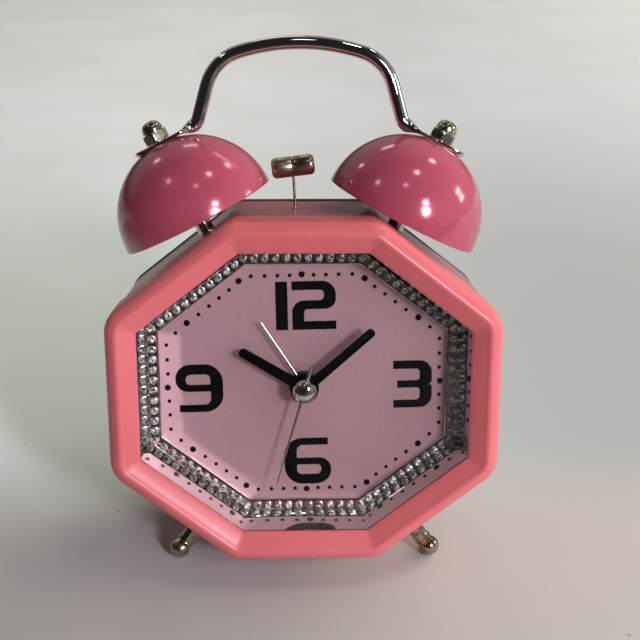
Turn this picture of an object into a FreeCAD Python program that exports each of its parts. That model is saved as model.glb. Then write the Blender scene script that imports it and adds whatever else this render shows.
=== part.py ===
"""Octagonal twin bell alarm clock, built piece by piece.

Millimetres. The pieces are drawn in the dial's own frame: X to the right, Y away from the
viewer, Z up the dial, with the origin at the centre of the dial face. At the end every piece
is leaned back, as the clock stands, on its two ball feet and the lower rear edge.
"""
import FreeCAD, Part
import math
import os

V = FreeCAD.Vector

# Dial window: half width, half height and half distance between the sloping sides of the lip
LIP_HALF_W = 48.8
LIP_HALF_H = 42.6
LIP_HALF_D = 45.2
SLOPE = math.radians(37.75)

# Bezel, measured outwards from the lip and forwards from the dial face
BEZEL_W = 9.0
LIP_Y = -12.95
LIP_T = 0.45
CROWN_Y = -16.3
BEZEL_BACK_Y = 0.6
BEZEL_WALL = 1.6
SPIGOT_L = 4.0

# Lens, reflector and stones
LENS_T = 1.0
LENS_LAP = 2.1
WALL_FLARE = 1.9
REFLECTOR_T = 0.9
BEAD_W = 0.25
SETTING_RIM = 0.05
STONE_GAP = 0.15
FLANGE_T = 1.0
STONE_D = 2.4
STONE_H = 0.95
STONES_PER_SIDE = 11
FLANGE_W = STONE_D + 2 * SETTING_RIM + STONE_GAP + BEAD_W

# Dial and its print
DIAL_T = 0.5
INK_T = 0.05
DIAL_SKEW = 1.1
DOT_INSET_W = 7.3
DOT_INSET_H = 8.45
DOT_INSET_D = 8.0
SMALL_DOT_INSET = 0.25
BIG_DOT_D = 1.66
SMALL_DOT_D = 0.95
NUMERAL_INSET_TOP = 18.0
NUMERAL_INSET_BOTTOM = 17.7
NUMERAL_INSET_LEFT = 16.9
NUMERAL_INSET_RIGHT = 15.7

# Case behind the bezel
CASE_OUT = 8.3
CASE_WALL = 1.2
CASE_BACK_Y = 40.0
COVER_T = 2.4
COVER_LAP = 0.3
COVER_RIM = 4.0

# Bells, their posts and the handle
BELL_R = 24.75
BELL_T = 0.9
BELL_BAND = 0.6
BELL_FLAT = 0.55
BELL_STAND = 4.932
BELL_FROM_CORNER = 9.146
BELL_Y = 20.0
TOP_SHIFT = -0.9
BELL_TILT = math.radians(26.9)
POST_D = 5.3
STUD_D = 4.0
LUG_T = 1.1
LUG_W = 8.4
LUG_L = 16.4
ROD_D = 3.9
HANDLE_RISE = 29.93
NUT_AF = 6.8
NUT_H = 3.1
DOME_D = 6.1
DOME_H = 3.5

# Feet
FOOT_REACH = 15.189
FOOT_FROM_CORNER = 11.385
FOOT_Y = 4.2
FOOT_BALL_R = 3.25
LEG_R = 3.25
LEG_NECK_R = 2.4

# Hammer and its drive
HAMMER_D = 6.3
HAMMER_L = 13.3
HAMMER_X = -3.05
HAMMER_RISE = 14.9
HAMMER_TILT = 6.9
PIVOT_X = -1.85
PIVOT_DROP = 4.6
WIRE_D = 0.85
FORK_DROP = 11.0
HAMMER_SWING = (-3.0, 12.4)
CRANK_THROW = 1.1
CRANK_PIN_D = 1.0

# Hands: angle clockwise from the top of the case, length, width at the tip and at the hub
HOUR_HAND = (-58.8, 21.2, 2.85, 3.4)
MINUTE_HAND = (48.4, 26.3, 2.7, 3.0)
SECOND_HAND = (-164.1, 31.0, 0.4, 0.6)
ALARM_HAND = (-33.0, 23.5, 0.45, 1.1)
HUB_R = 4.4
CAP_R = 3.6

# General clearances
FIT = 0.05
LOOSE = 0.3

nodes = {}


def cylinder(radius, y0, y1, x=0.0, z=0.0):
    return Part.makeCylinder(radius, y1 - y0, V(x, y0, z), V(0, 1, 0))


def tube(outer, inner, y0, y1, x=0.0, z=0.0):
    return cylinder(outer, y0, y1, x, z).cut(cylinder(inner, y0 - 1, y1 + 1, x, z))


def block(x0, x1, y0, y1, z0, z1):
    return Part.makeBox(x1 - x0, y1 - y0, z1 - z0, V(x0, y0, z0))


def join(shapes):
    """Fuse shapes that touch into one clean solid."""
    return shapes[0].multiFuse(shapes[1:]).removeSplitter()


def polar(radius, degrees):
    """Point on the dial at an angle clockwise from the top."""
    a = math.radians(degrees)
    return radius * math.sin(a), radius * math.cos(a)


def rounded_wire(corners, y):
    """Closed outline at depth y from corners (x, z, corner radius)."""
    edges = []
    starts = []
    ends = []
    n = len(corners)
    for i, (x, z, r) in enumerate(corners):
        here = V(x, y, z)
        before = V(corners[i - 1][0], y, corners[i - 1][1]) - here
        after = V(corners[(i + 1) % n][0], y, corners[(i + 1) % n][1]) - here
        before.normalize()
        after.normalize()
        if r <= 0:
            starts.append(here)
            ends.append(here)
            continue
        half = math.acos(max(-1.0, min(1.0, before.dot(after)))) / 2
        run = r / math.tan(half)
        p1 = here + before * run
        p2 = here + after * run
        bisector = before + after
        bisector.normalize()
        middle = here + bisector * (r / math.sin(half) - r)
        edges.append((i, Part.Arc(p1, middle, p2).toShape()))
        starts.append(p1)
        ends.append(p2)
    arcs = dict(edges)
    chain = []
    for i in range(n):
        if i in arcs:
            chain.append(arcs[i])
        nxt = (i + 1) % n
        if ends[i].distanceToPoint(starts[nxt]) > 1e-6:
            chain.append(Part.LineSegment(ends[i], starts[nxt]).toShape())
    return Part.Wire(chain)


def plate(corners, y0, y1, holes=()):
    """Flat plate with rounded corners between two depths, with round holes (x, z, radius)."""
    solid = Part.Face(rounded_wire(corners, y0)).extrude(V(0, y1 - y0, 0))
    for x, z, r in holes:
        solid = solid.cut(cylinder(r, y0 - 1, y1 + 1, x, z))
    return solid


def rectangle(x0, x1, z0, z1, r=0.0):
    return [(x0, z0, r), (x1, z0, r), (x1, z1, r), (x0, z1, r)]


def octagon_corners(half_w, half_h, half_d):
    """Corners of an octagon with level, upright and sloping sides, from the top right round."""
    s, c = math.sin(SLOPE), math.cos(SLOPE)
    t = (half_d - half_h * c) / s
    v = (half_d - half_w * s) / c
    return [(t, half_h), (half_w, v), (half_w, -v), (t, -half_h),
            (-t, -half_h), (-half_w, -v), (-half_w, v), (-t, half_h)]


def by_slope(from_corner, stand):
    """Point off the case's sloping side: how far down from its top corner, and how far out."""
    s, c = math.sin(SLOPE), math.cos(SLOPE)
    top = LIP_HALF_H + CASE_OUT
    corner = (LIP_HALF_D + CASE_OUT - top * c) / s
    return corner + from_corner * c + stand * s, top - from_corner * s + stand * c


# What stands on the slopes, and the hammer between the bells
BELL_X, BELL_Z = by_slope(BELL_FROM_CORNER, BELL_STAND)
FOOT_X, FOOT_Z = by_slope(FOOT_FROM_CORNER, FOOT_REACH)
FOOT_Z = -FOOT_Z
HAMMER_Z = BELL_Z + HAMMER_RISE
PIVOT_Z = LIP_HALF_H - PIVOT_DROP


def side_normals():
    """Outward normal of the side that leaves each corner."""
    s, c = math.sin(SLOPE), math.cos(SLOPE)
    return [(s, c), (1, 0), (s, -c), (0, -1), (-s, -c), (-1, 0), (-s, c), (0, 1)]


LIP_CORNERS = octagon_corners(LIP_HALF_W, LIP_HALF_H, LIP_HALF_D)
NORMALS = side_normals()


def octagon_wire(offset, y, sharp=False):
    """The lip's octagon moved outwards by offset: its corners are arcs about the lip's corners."""
    if offset <= 0 or sharp:
        pts = octagon_corners(LIP_HALF_W + offset, LIP_HALF_H + offset, LIP_HALF_D + offset)
        pts = [V(x, y, z) for x, z in pts]
        return Part.makePolygon(pts + pts[:1])
    edges = []
    ends = []
    for i, (x, z) in enumerate(LIP_CORNERS):
        na = NORMALS[i - 1]
        nb = NORMALS[i]
        mid = V(na[0] + nb[0], 0, na[1] + nb[1])
        mid.normalize()
        a = V(x + offset * na[0], y, z + offset * na[1])
        b = V(x + offset * nb[0], y, z + offset * nb[1])
        ends.append((a, Part.Arc(a, V(x, y, z) + mid * offset, b).toShape(), b))
    for i, (a, arc, b) in enumerate(ends):
        edges.append(arc)
        edges.append(Part.LineSegment(b, ends[(i + 1) % 8][0]).toShape())
    return Part.Wire(edges)


def octagon_prism(offset, y0, y1, sharp=False):
    return Part.Face(octagon_wire(offset, y0, sharp)).extrude(V(0, y1 - y0, 0))


def octagon_frustum(offset0, y0, offset1, y1):
    ends = [octagon_wire(offset0, y0, True), octagon_wire(offset1, y1, True)]
    return Part.makeLoft(ends, True, True)


def section_face(section, corner, normal):
    """Face of a moulding section: points (offset, y) or arcs ((offset, y) via, (offset, y) end)."""
    def at(p):
        return V(corner[0] + p[0] * normal[0], p[1], corner[1] + p[0] * normal[1])
    edges = []
    here = section[0]
    for step in section[1:] + [section[0]]:
        if isinstance(step[0], tuple):
            via, end = step
            edges.append(Part.Arc(at(here), at(via), at(end)).toShape())
            here = end
        else:
            edges.append(Part.LineSegment(at(here), at(step)).toShape())
            here = step
    return Part.Face(Part.Wire(edges))


def octagon_moulding(section):
    """Run a section round the lip's octagon: straight along each side, turned about each corner."""
    pieces = []
    for i, corner in enumerate(LIP_CORNERS):
        nxt = LIP_CORNERS[(i + 1) % 8]
        along = V(nxt[0] - corner[0], 0, nxt[1] - corner[1])
        pieces.append(section_face(section, corner, NORMALS[i]).extrude(along))
        na, nb = NORMALS[i - 1], NORMALS[i]
        turn = math.degrees(math.acos(na[0] * nb[0] + na[1] * nb[1]))
        start = section_face(section, corner, na)
        pieces.append(start.revolve(V(corner[0], 0, corner[1]), V(0, 1, 0), turn))
    return join(pieces)


def along_axis(shape, origin, tilt):
    """Place a shape drawn up the Z axis at origin, leaned sideways by tilt (radians)."""
    placed = shape.copy()
    placed.rotate(V(0, 0, 0), V(0, 1, 0), math.degrees(tilt))
    placed.translate(origin)
    return placed


def turned(profile):
    """Solid of revolution about Z from a closed profile of (radius, z) points."""
    pts = [V(r, 0, z) for r, z in profile]
    face = Part.Face(Part.makePolygon(pts + pts[:1]))
    return face.revolve(V(0, 0, 0), V(0, 0, 1), 360)


# Derived depths and places that several pieces share
LENS_Y0 = LIP_Y + LIP_T
LENS_Y1 = LENS_Y0 + LENS_T
FLANGE_IN = -WALL_FLARE - FLANGE_W
FLANGE_MID = -WALL_FLARE - (FLANGE_W - BEAD_W) / 2
SPIGOT_OUT = CASE_OUT - CASE_WALL - 0.1
SPIGOT_IN = SPIGOT_OUT - 1.2
COVER_BACK_Y = CASE_BACK_Y + COVER_T
COVER_OUT = CASE_OUT + COVER_LAP
FRAME_OUT = SPIGOT_IN - 0.2
FRAME_Y0 = DIAL_T
FRAME_Y1 = FRAME_Y0 + 1.5
BEZEL_SCREW_OFFSET = 4.5


# Bezel: a hollow moulding whose crown slopes in to the lip, with a spigot that enters the case
def make_front_bezel():
    out = BEZEL_W
    inner = out - BEZEL_WALL
    seat = LENS_LAP + 0.1
    section = [
        (0.0, LIP_Y),
        (4.3, CROWN_Y + 0.55),
        ((5.3, CROWN_Y + 0.05), (6.3, CROWN_Y + 0.35)),
        (7.2, CROWN_Y + 0.9),
        ((out - 0.55, CROWN_Y + 2.3), (out, CROWN_Y + 4.6)),
        (out, BEZEL_BACK_Y),
        (SPIGOT_OUT, BEZEL_BACK_Y),
        (SPIGOT_OUT, BEZEL_BACK_Y + SPIGOT_L),
        (SPIGOT_IN, BEZEL_BACK_Y + SPIGOT_L),
        (SPIGOT_IN, BEZEL_BACK_Y - 1.2),
        (inner, BEZEL_BACK_Y - 1.2),
        (inner, CROWN_Y + 3.9),
        (5.4, CROWN_Y + 1.7),
        (seat + 1.4, CROWN_Y + 2.6),
        (seat + 1.4, LENS_Y1 + 0.6),
        (seat, LENS_Y1 + 0.6),
        (seat, LENS_Y0),
        (0.0, LENS_Y0),
    ]
    body = octagon_moulding(section)
    bosses = []
    for x, z in bezel_screw_places():
        bosses.append(cylinder(1.3, CROWN_Y + 2.2, FRAME_Y0, x, z))
    body = join([body] + bosses)
    for x, z in bezel_screw_places():
        body = body.cut(cylinder(0.72, FRAME_Y0 - 7.0, FRAME_Y0 + 1, x, z))
    return body


def bezel_screw_places():
    """Middle of each sloping side, inside the bezel's hollow."""
    reach = LIP_HALF_D + BEZEL_SCREW_OFFSET
    return [(sx * reach * math.sin(SLOPE), sz * reach * math.cos(SLOPE))
            for sx in (-1, 1) for sz in (-1, 1)]


nodes["front_bezel"] = make_front_bezel()

# Lens: flat clear pane against the back of the lip
nodes["front_lens"] = octagon_prism(LENS_LAP, LENS_Y0, LENS_Y1)


# Reflector: plated ring with a flared mirror wall and a flat flange that carries the stones
def make_reflector_ring():
    front = LENS_Y1
    outside = octagon_frustum(REFLECTOR_T + 0.1, front, REFLECTOR_T - WALL_FLARE, 0.0)
    hollow = octagon_frustum(0.1, front - 0.001, -WALL_FLARE, -FLANGE_T)
    bore = octagon_prism(FLANGE_IN, -FLANGE_T - 1, 1.0)
    bead = octagon_prism(FLANGE_IN + BEAD_W, -FLANGE_T - 0.3, -FLANGE_T + 0.2)
    ring = outside.cut(hollow)
    return join([ring, bead]).cut(bore)


nodes["reflector_ring"] = make_reflector_ring()


# Stones: one faceted stud per place, set in a row round the flange
def make_stones():
    base_r = STONE_D / 2 + SETTING_RIM
    profile = [(0, 0), (base_r, 0), (base_r, 0.35), (STONE_D / 2, 0.35),
               (STONE_D / 4 + 0.05, STONE_H), (0, STONE_H)]
    stud = turned(profile)
    stud.rotate(V(0, 0, 0), V(1, 0, 0), 90)
    corners = octagon_corners(LIP_HALF_W + FLANGE_MID, LIP_HALF_H + FLANGE_MID,
                              LIP_HALF_D + FLANGE_MID)
    studs = []
    for i, (x0, z0) in enumerate(corners):
        x1, z1 = corners[(i + 1) % 8]
        for k in range(STONES_PER_SIDE):
            f = k / STONES_PER_SIDE
            one = stud.copy()
            one.translate(V(x0 + (x1 - x0) * f, -FLANGE_T, z0 + (z1 - z0) * f))
            studs.append(one)
    return Part.Compound(studs)


nodes["crystal_studs"] = make_stones()

# Depths of the hands in front of the dial, and radii of the nested arbors
ALARM_Y = -2.9
HOUR_Y = -4.2
MINUTE_Y = -6.4
SECOND_Y = -7.1
ALARM_TUBE_R = 3.0
HOUR_TUBE_R = 2.4
MINUTE_ARBOR_R = 1.7
SECOND_ARBOR_R = 0.7
BOSS_R = 4.2
BOSS_Y = -1.4

# Dial plate: thin printed sheet clamped under the reflector's flange
nodes["dial_plate"] = octagon_prism(-0.2, 0.0, DIAL_T, True).cut(cylinder(BOSS_R + 0.1, -1, 2))


def numeral_one():
    return [rectangle(0, 3.6, 0, 14.9, 0.15)]


def numeral_two():
    return [[(0, 0, 0), (13.2, 0, 0), (13.2, 2.6, 0), (3.6, 2.6, 0), (3.6, 6.3, 1.0),
             (13.2, 6.3, 3.3), (13.2, 14.9, 4.2), (0, 14.9, 0), (0, 12.2, 0),
             (9.6, 12.2, 1.2), (9.6, 9.0, 1.2), (0, 9.0, 3.6)]]


def numeral_three():
    return [[(0, 0, 0), (11.8, 0, 3.8), (11.8, 6.9, 0.4), (10.9, 7.5, 0), (11.8, 8.1, 0.4),
             (11.8, 15.0, 3.8), (0, 15.0, 0), (0, 12.4, 0), (8.1, 12.4, 1.2), (8.1, 8.7, 1.0),
             (1.2, 8.7, 0), (1.2, 6.4, 0), (8.1, 6.4, 1.0), (8.1, 2.5, 1.2), (0, 2.5, 0)]]


def numeral_nine():
    return [[(0.9, 0, 0), (14.4, 0, 5.6), (14.4, 15.1, 5.6), (0, 15.1, 4.6), (0, 6.5, 3.8),
             (10.6, 6.5, 0), (10.6, 2.3, 2.0), (0.9, 2.3, 0)],
            [(3.1, 8.7, 1.3), (10.6, 8.7, 0.5), (10.6, 11.9, 1.5), (3.1, 11.9, 1.5)]]


def ink_shape(outlines, centre, upside_down=False):
    """A printed numeral: the first outline less the others, centred on a point of the dial."""
    xs = [p[0] for p in outlines[0]]
    zs = [p[1] for p in outlines[0]]
    solid = Part.Face(rounded_wire(outlines[0], 0.0)).extrude(V(0, -INK_T, 0))
    for hole in outlines[1:]:
        solid = solid.cut(Part.Face(rounded_wire(hole, 1.0)).extrude(V(0, -3, 0)))
    solid.translate(V(-(min(xs) + max(xs)) / 2, 0, -(min(zs) + max(zs)) / 2))
    if upside_down:
        solid.rotate(V(0, 0, 0), V(0, 1, 0), 180)
    solid.translate(V(centre[0], 0, centre[1]))
    return solid


def dial_dots():
    """Sixty dots where the minute rays cross an octagon, the hour dots larger."""
    sides = [(math.sin(SLOPE), math.cos(SLOPE), LIP_HALF_D - DOT_INSET_D),
             (1, 0, LIP_HALF_W - DOT_INSET_W), (0, 1, LIP_HALF_H - DOT_INSET_H)]
    dots = []
    for minute in range(60):
        ux, uz = polar(1.0, 6 * minute)
        big = minute % 5 == 0
        inset = 0.0 if big else SMALL_DOT_INSET
        reach = min((d - inset) / (abs(ux) * nx + abs(uz) * nz) for nx, nz, d in sides
                    if abs(ux) * nx + abs(uz) * nz > 1e-6)
        radius = (BIG_DOT_D if big else SMALL_DOT_D) / 2
        dots.append(cylinder(radius, -INK_T, 0.0, ux * reach, uz * reach))
    return dots


def make_dial_print():
    top, bottom = LIP_HALF_H - NUMERAL_INSET_TOP, NUMERAL_INSET_BOTTOM - LIP_HALF_H
    one = ink_shape(numeral_one(), (-6.2, top))
    two = ink_shape(numeral_two(), (3.5, top))
    three = ink_shape(numeral_three(), (LIP_HALF_W - NUMERAL_INSET_RIGHT, -0.8))
    six = ink_shape(numeral_nine(), (0.6, bottom), True)
    nine = ink_shape(numeral_nine(), (NUMERAL_INSET_LEFT - LIP_HALF_W, -0.5))
    ink = Part.Compound([one, two, three, six, nine] + dial_dots())
    ink.rotate(V(0, 0, 0), V(0, 1, 0), -DIAL_SKEW)
    return ink


nodes["dial_print"] = make_dial_print()


# Hands
def bar_hand(spec, y, thickness, bore_r, hub_r):
    """Straight hand with a round hub and a round end."""
    angle, length, tip_w, root_w = spec
    outline = [(-root_w / 2, 0, 0), (root_w / 2, 0, 0),
               (tip_w / 2, length + tip_w / 2, tip_w * 0.499),
               (-tip_w / 2, length + tip_w / 2, tip_w * 0.499)]
    blade = plate(outline, y, y + thickness)
    hub = cylinder(hub_r, y, y + thickness)
    hand = join([blade, hub]).cut(cylinder(bore_r, y - 1, y + thickness + 1))
    hand.rotate(V(0, 0, 0), V(0, 1, 0), angle)
    return hand


def make_second_hand():
    angle, length, tip_w, root_w = SECOND_HAND
    tail = 7.0
    tail_w = 1.2
    needle = plate([(-root_w / 2, 0, 0), (root_w / 2, 0, 0), (tip_w / 2, length, 0),
                    (-tip_w / 2, length, 0)], SECOND_Y, SECOND_Y + 0.3)
    weight = plate([(-tail_w / 2, -tail, tail_w * 0.499), (tail_w / 2, -tail, tail_w * 0.499),
                    (tail_w / 2, 0, 0), (-tail_w / 2, 0, 0)], SECOND_Y, SECOND_Y + 0.3)
    hub = cylinder(1.6, SECOND_Y, SECOND_Y + 0.3)
    hand = join([needle, weight, hub])
    hand = hand.cut(cylinder(SECOND_ARBOR_R, SECOND_Y - 1, SECOND_Y + 1))
    hand.rotate(V(0, 0, 0), V(0, 1, 0), angle)
    return hand


def make_center_cap():
    """Domed cap that closes the second hand's hub."""
    dome = Part.makeSphere(CAP_R, V(0, SECOND_Y - 0.3, 0))
    front = block(-9, 9, SECOND_Y - 9, SECOND_Y - 0.3, -9, 9)
    skirt = cylinder(CAP_R, SECOND_Y - 0.3, SECOND_Y)
    return join([dome.common(front), skirt])


nodes["alarm_hand"] = bar_hand(ALARM_HAND, ALARM_Y, 0.3, ALARM_TUBE_R, HUB_R + 0.3)
nodes["hour_hand"] = bar_hand(HOUR_HAND, HOUR_Y, 0.45, HOUR_TUBE_R, HUB_R)
nodes["minute_hand"] = bar_hand(MINUTE_HAND, MINUTE_Y, 0.45, MINUTE_ARBOR_R, HUB_R - 0.2)
nodes["second_hand"] = make_second_hand()
nodes["center_cap"] = make_center_cap()

# Places of the movement's arbors on the dial plane, and of the knobs behind them
MOTION_AT = (-12.0, 0.0)
ALARM_STEM_AT = (14.0, 0.0)
THIRD_AT = polar(10.8, 30)
STEP_AT = polar(9.6, 150)
ROTOR_AT = (STEP_AT[0] + polar(8.75, 251)[0], STEP_AT[1] + polar(8.75, 251)[1])
MOVEMENT_Y0 = FRAME_Y1 + 0.2
MOVEMENT_Y1 = 18.2
MOVEMENT_X = 25.0
MOVEMENT_Z = (-29.0, 22.5)
MOVEMENT_WALL = 1.3
PLATE_T = 1.5


def gear(module, teeth, y0, y1, at, bore_r, towards=None, gap_there=False):
    """Spur gear with trapezoid teeth. A tooth, or a gap, points at the mating arbor."""
    pitch_r = module * teeth / 2
    tip_r = pitch_r + 0.8 * module
    root_r = pitch_r - 1.15 * module
    step = 2 * math.pi / teeth
    start = 0.0
    if towards is not None:
        start = math.atan2(towards[1] - at[1], towards[0] - at[0])
        if gap_there:
            start += step / 2
    pts = []
    for k in range(teeth):
        middle = start + k * step
        for radius, share in ((root_r, -0.25), (tip_r, -0.10), (tip_r, 0.10), (root_r, 0.25)):
            a = middle + share * step
            pts.append(V(at[0] + radius * math.cos(a), y0, at[1] + radius * math.sin(a)))
    wheel = Part.Face(Part.makePolygon(pts + pts[:1])).extrude(V(0, y1 - y0, 0))
    return wheel.cut(cylinder(bore_r, y0 - 1, y1 + 1, *at))


CENTRE = (0.0, 0.0)

# Alarm wheel on its tube, and the stem that sets it
ALARM_MODULE = 0.5
nodes["alarm_wheel"] = join([
    gear(ALARM_MODULE, 40, 4.2, 5.2, CENTRE, HOUR_TUBE_R + FIT, ALARM_STEM_AT),
    tube(ALARM_TUBE_R, HOUR_TUBE_R + FIT, ALARM_Y, 5.2)])
KNOB_Y0 = COVER_BACK_Y + 0.5
KNOB_L = 6.5
STEM_R = 1.5


def set_stem(at, y_front):
    """Stem that carries a setting knob outside the rear cover."""
    return cylinder(STEM_R, y_front, KNOB_Y0 + 3.0, *at)


nodes["alarm_stem"] = join([
    gear(ALARM_MODULE, 16, 4.1, 5.3, ALARM_STEM_AT, 0.2, CENTRE, True),
    cylinder(0.75, MOVEMENT_Y0 + 0.3, 4.1, *ALARM_STEM_AT),
    set_stem(ALARM_STEM_AT, 4.1)])

# Motion work: hour wheel, minute arbor with its pinion, and the motion wheel between them
HOUR_MODULE = 0.48
MINUTE_MODULE = 0.5
nodes["hour_wheel"] = join([
    gear(HOUR_MODULE, 40, 6.0, 7.0, CENTRE, MINUTE_ARBOR_R + FIT, MOTION_AT),
    tube(HOUR_TUBE_R, MINUTE_ARBOR_R + FIT, HOUR_Y, 7.0)])
nodes["minute_arbor"] = join([
    gear(MINUTE_MODULE, 12, 8.0, 9.6, CENTRE, SECOND_ARBOR_R + FIT, MOTION_AT),
    tube(MINUTE_ARBOR_R, SECOND_ARBOR_R + FIT, MINUTE_Y, 11.2)])
nodes["motion_wheel"] = join([
    gear(MINUTE_MODULE, 36, 8.3, 9.3, MOTION_AT, 0.2, CENTRE, True),
    gear(HOUR_MODULE, 10, 5.9, 7.2, MOTION_AT, 0.2, CENTRE, True),
    cylinder(0.75, MOVEMENT_Y0 + 0.3, 8.3, *MOTION_AT),
    set_stem(MOTION_AT, 9.3),
    cylinder(0.75, 8.2, 9.4, *MOTION_AT)])

# Going train: rotor, step wheel, second wheel, third wheel and centre wheel
nodes["centre_wheel"] = gear(0.3, 64, 10.2, 10.8, CENTRE, MINUTE_ARBOR_R + FIT, THIRD_AT)
THIRD_MODULE = 10.8 / 34
nodes["third_wheel"] = join([
    gear(0.3, 8, 9.9, 11.1, THIRD_AT, 0.2, CENTRE, True),
    gear(THIRD_MODULE, 60, 11.9, 12.4, THIRD_AT, 0.2, CENTRE),
    cylinder(0.5, 9.0, 16.4, *THIRD_AT)])
nodes["second_wheel"] = join([
    gear(THIRD_MODULE, 8, 11.6, 12.8, CENTRE, 0.2, THIRD_AT, True),
    gear(0.4, 40, 13.0, 13.6, CENTRE, 0.2, STEP_AT),
    cylinder(SECOND_ARBOR_R, SECOND_Y, 16.4)])
nodes["step_wheel"] = join([
    gear(0.4, 8, 12.8, 13.9, STEP_AT, 0.2, CENTRE, True),
    gear(0.25, 60, 14.3, 14.8, STEP_AT, 0.2, ROTOR_AT),
    cylinder(0.5, 11.8, 16.4, *STEP_AT)])
ROTOR_R = 2.5
ROTOR_Y = (11.1, 12.7)
nodes["rotor"] = join([
    gear(0.25, 10, 14.2, 14.9, ROTOR_AT, 0.2, STEP_AT, True),
    cylinder(ROTOR_R, ROTOR_Y[0], ROTOR_Y[1], *ROTOR_AT),
    cylinder(0.5, 10.2, 16.4, *ROTOR_AT)])

# Stepping motor: stator plates round the rotor, with the coil below
COIL_AT = (-3.5, -22.5)
COIL_HALF_L = 7.0


def make_stator():
    y0, y1 = ROTOR_Y[0] + 0.3, ROTOR_Y[1] - 0.3
    x, z = ROTOR_AT
    shoe = cylinder(ROTOR_R + 2.2, y0, y1, x, z)
    leg = 2.2
    legs = []
    for side in (-1, 1):
        edge = COIL_AT[0] + side * (COIL_HALF_L + 1.5)
        inner = edge - side * leg
        legs.append(block(min(edge, inner), max(edge, inner), y0, y1, COIL_AT[1] - 1.2, z - 2.0))
        legs.append(block(min(x, edge), max(x, edge), y0, y1, z - 4.2, z - 2.0))
    core = block(COIL_AT[0] - COIL_HALF_L - 1.5, COIL_AT[0] + COIL_HALF_L + 1.5,
                 y0, y1, COIL_AT[1] - 1.2, COIL_AT[1] + 1.2)
    ring = join([shoe, core] + legs)
    ring = ring.cut(cylinder(ROTOR_R + 0.4, y0 - 1, y1 + 1, x, z))
    return ring.cut(cylinder(1.0, y0 - 1, y1 + 1, *STEP_AT))


nodes["stator"] = make_stator()


def make_coil():
    y = (ROTOR_Y[0] + ROTOR_Y[1]) / 2
    x0 = COIL_AT[0] - COIL_HALF_L + 1.0
    x1 = COIL_AT[0] + COIL_HALF_L - 1.0
    winding = Part.makeCylinder(3.0, x1 - x0, V(x0, y, COIL_AT[1]), V(1, 0, 0))
    ends = [Part.makeCylinder(3.5, 0.8, V(x, y, COIL_AT[1]), V(1, 0, 0)) for x in (x0, x1 - 0.8)]
    slot = block(x0 - 1, x1 + 1, ROTOR_Y[0] + 0.3, ROTOR_Y[1] - 0.3, COIL_AT[1] - 1.2,
                 COIL_AT[1] + 1.2)
    return join([winding] + ends).cut(slot)


nodes["coil"] = make_coil()
BOARD_Y = 15.6
BOARD = (-21.0, 21.0, -27.0, -18.5)


def make_circuit_board():
    """Board with the oscillator chip's blob and solder pads."""
    x0, x1, z0, z1 = BOARD
    board = block(x0, x1, BOARD_Y, BOARD_Y + 1.0, z0, z1)
    blob = cylinder(2.0, BOARD_Y - 0.8, BOARD_Y, 9.0, (z0 + z1) / 2)
    return join([board, blob])


nodes["circuit_board"] = make_circuit_board()
nodes["quartz_crystal"] = Part.makeCylinder(1.0, 6.0, V(12.5, BOARD_Y - 1.0, -21.0), V(1, 0, 0))

# Movement housing: a front plate with the threaded boss, and a rear box that closes on it
BEARING_R = 0.5 + FIT


def movement_outline(inset=0.0):
    return rectangle(-MOVEMENT_X + inset, MOVEMENT_X - inset, MOVEMENT_Z[0] + inset,
                     MOVEMENT_Z[1] - inset, max(2.0 - inset, 0.5))


def make_movement_front():
    front = plate(movement_outline(), MOVEMENT_Y0, MOVEMENT_Y0 + PLATE_T)
    boss = cylinder(BOSS_R, BOSS_Y, MOVEMENT_Y0 + 0.5)
    body = join([front, boss]).cut(cylinder(ALARM_TUBE_R + FIT, BOSS_Y - 1, 5.0))
    for at in (MOTION_AT, ALARM_STEM_AT):
        body = body.cut(cylinder(0.75 + FIT, MOVEMENT_Y0 + 0.3, 5.0, *at))
    return body


def make_movement_rear():
    y0 = MOVEMENT_Y0 + PLATE_T
    outer = plate(movement_outline(), y0, MOVEMENT_Y1)
    inner = plate(movement_outline(MOVEMENT_WALL), y0 - 1, MOVEMENT_Y1 - MOVEMENT_WALL)
    body = outer.cut(inner)
    pillars = []
    for at, y in ((THIRD_AT, 15.4), (STEP_AT, 15.4), (CENTRE, 15.4), (ROTOR_AT, 15.4)):
        pillars.append(cylinder(1.1, y, MOVEMENT_Y1 - 0.5, *at))
    # shelf that carries the coil and the stator, and posts under the board
    pillars.append(block(BOARD[0] + 1, BOARD[0] + 4, BOARD_Y + 1.0, MOVEMENT_Y1 - 1, BOARD[2] + 1,
                         BOARD[3] - 1))
    pillars.append(block(BOARD[1] - 4, BOARD[1] - 1, BOARD_Y + 1.0, MOVEMENT_Y1 - 1, BOARD[2] + 1,
                         BOARD[3] - 1))
    body = join([body] + pillars)
    for at in (THIRD_AT, STEP_AT, ROTOR_AT):
        body = body.cut(cylinder(BEARING_R, 15.0, 16.6, *at))
    body = body.cut(cylinder(SECOND_ARBOR_R + FIT, 15.0, 16.6))
    for at in (MOTION_AT, ALARM_STEM_AT):
        body = body.cut(cylinder(STEM_R + FIT, 15.0, 20.0, *at))
    return body


nodes["movement_front"] = make_movement_front()
nodes["movement_rear"] = make_movement_rear()

# Inner frame: plate behind the dial with the pillars that the cover and the bracket screw to
PILLAR_R = 2.5
PILLARS = [(sx * 36.0, sz * 26.0) for sx in (-1, 1) for sz in (-1, 1)]
BRACKET_PILLARS = [(-22.0, 29.0), (22.0, 29.0)]
BRACKET_Y = 23.5
BRACKET_T = 1.2
SCREW_R = 0.9
PILOT_GAP = 0.02


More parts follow.
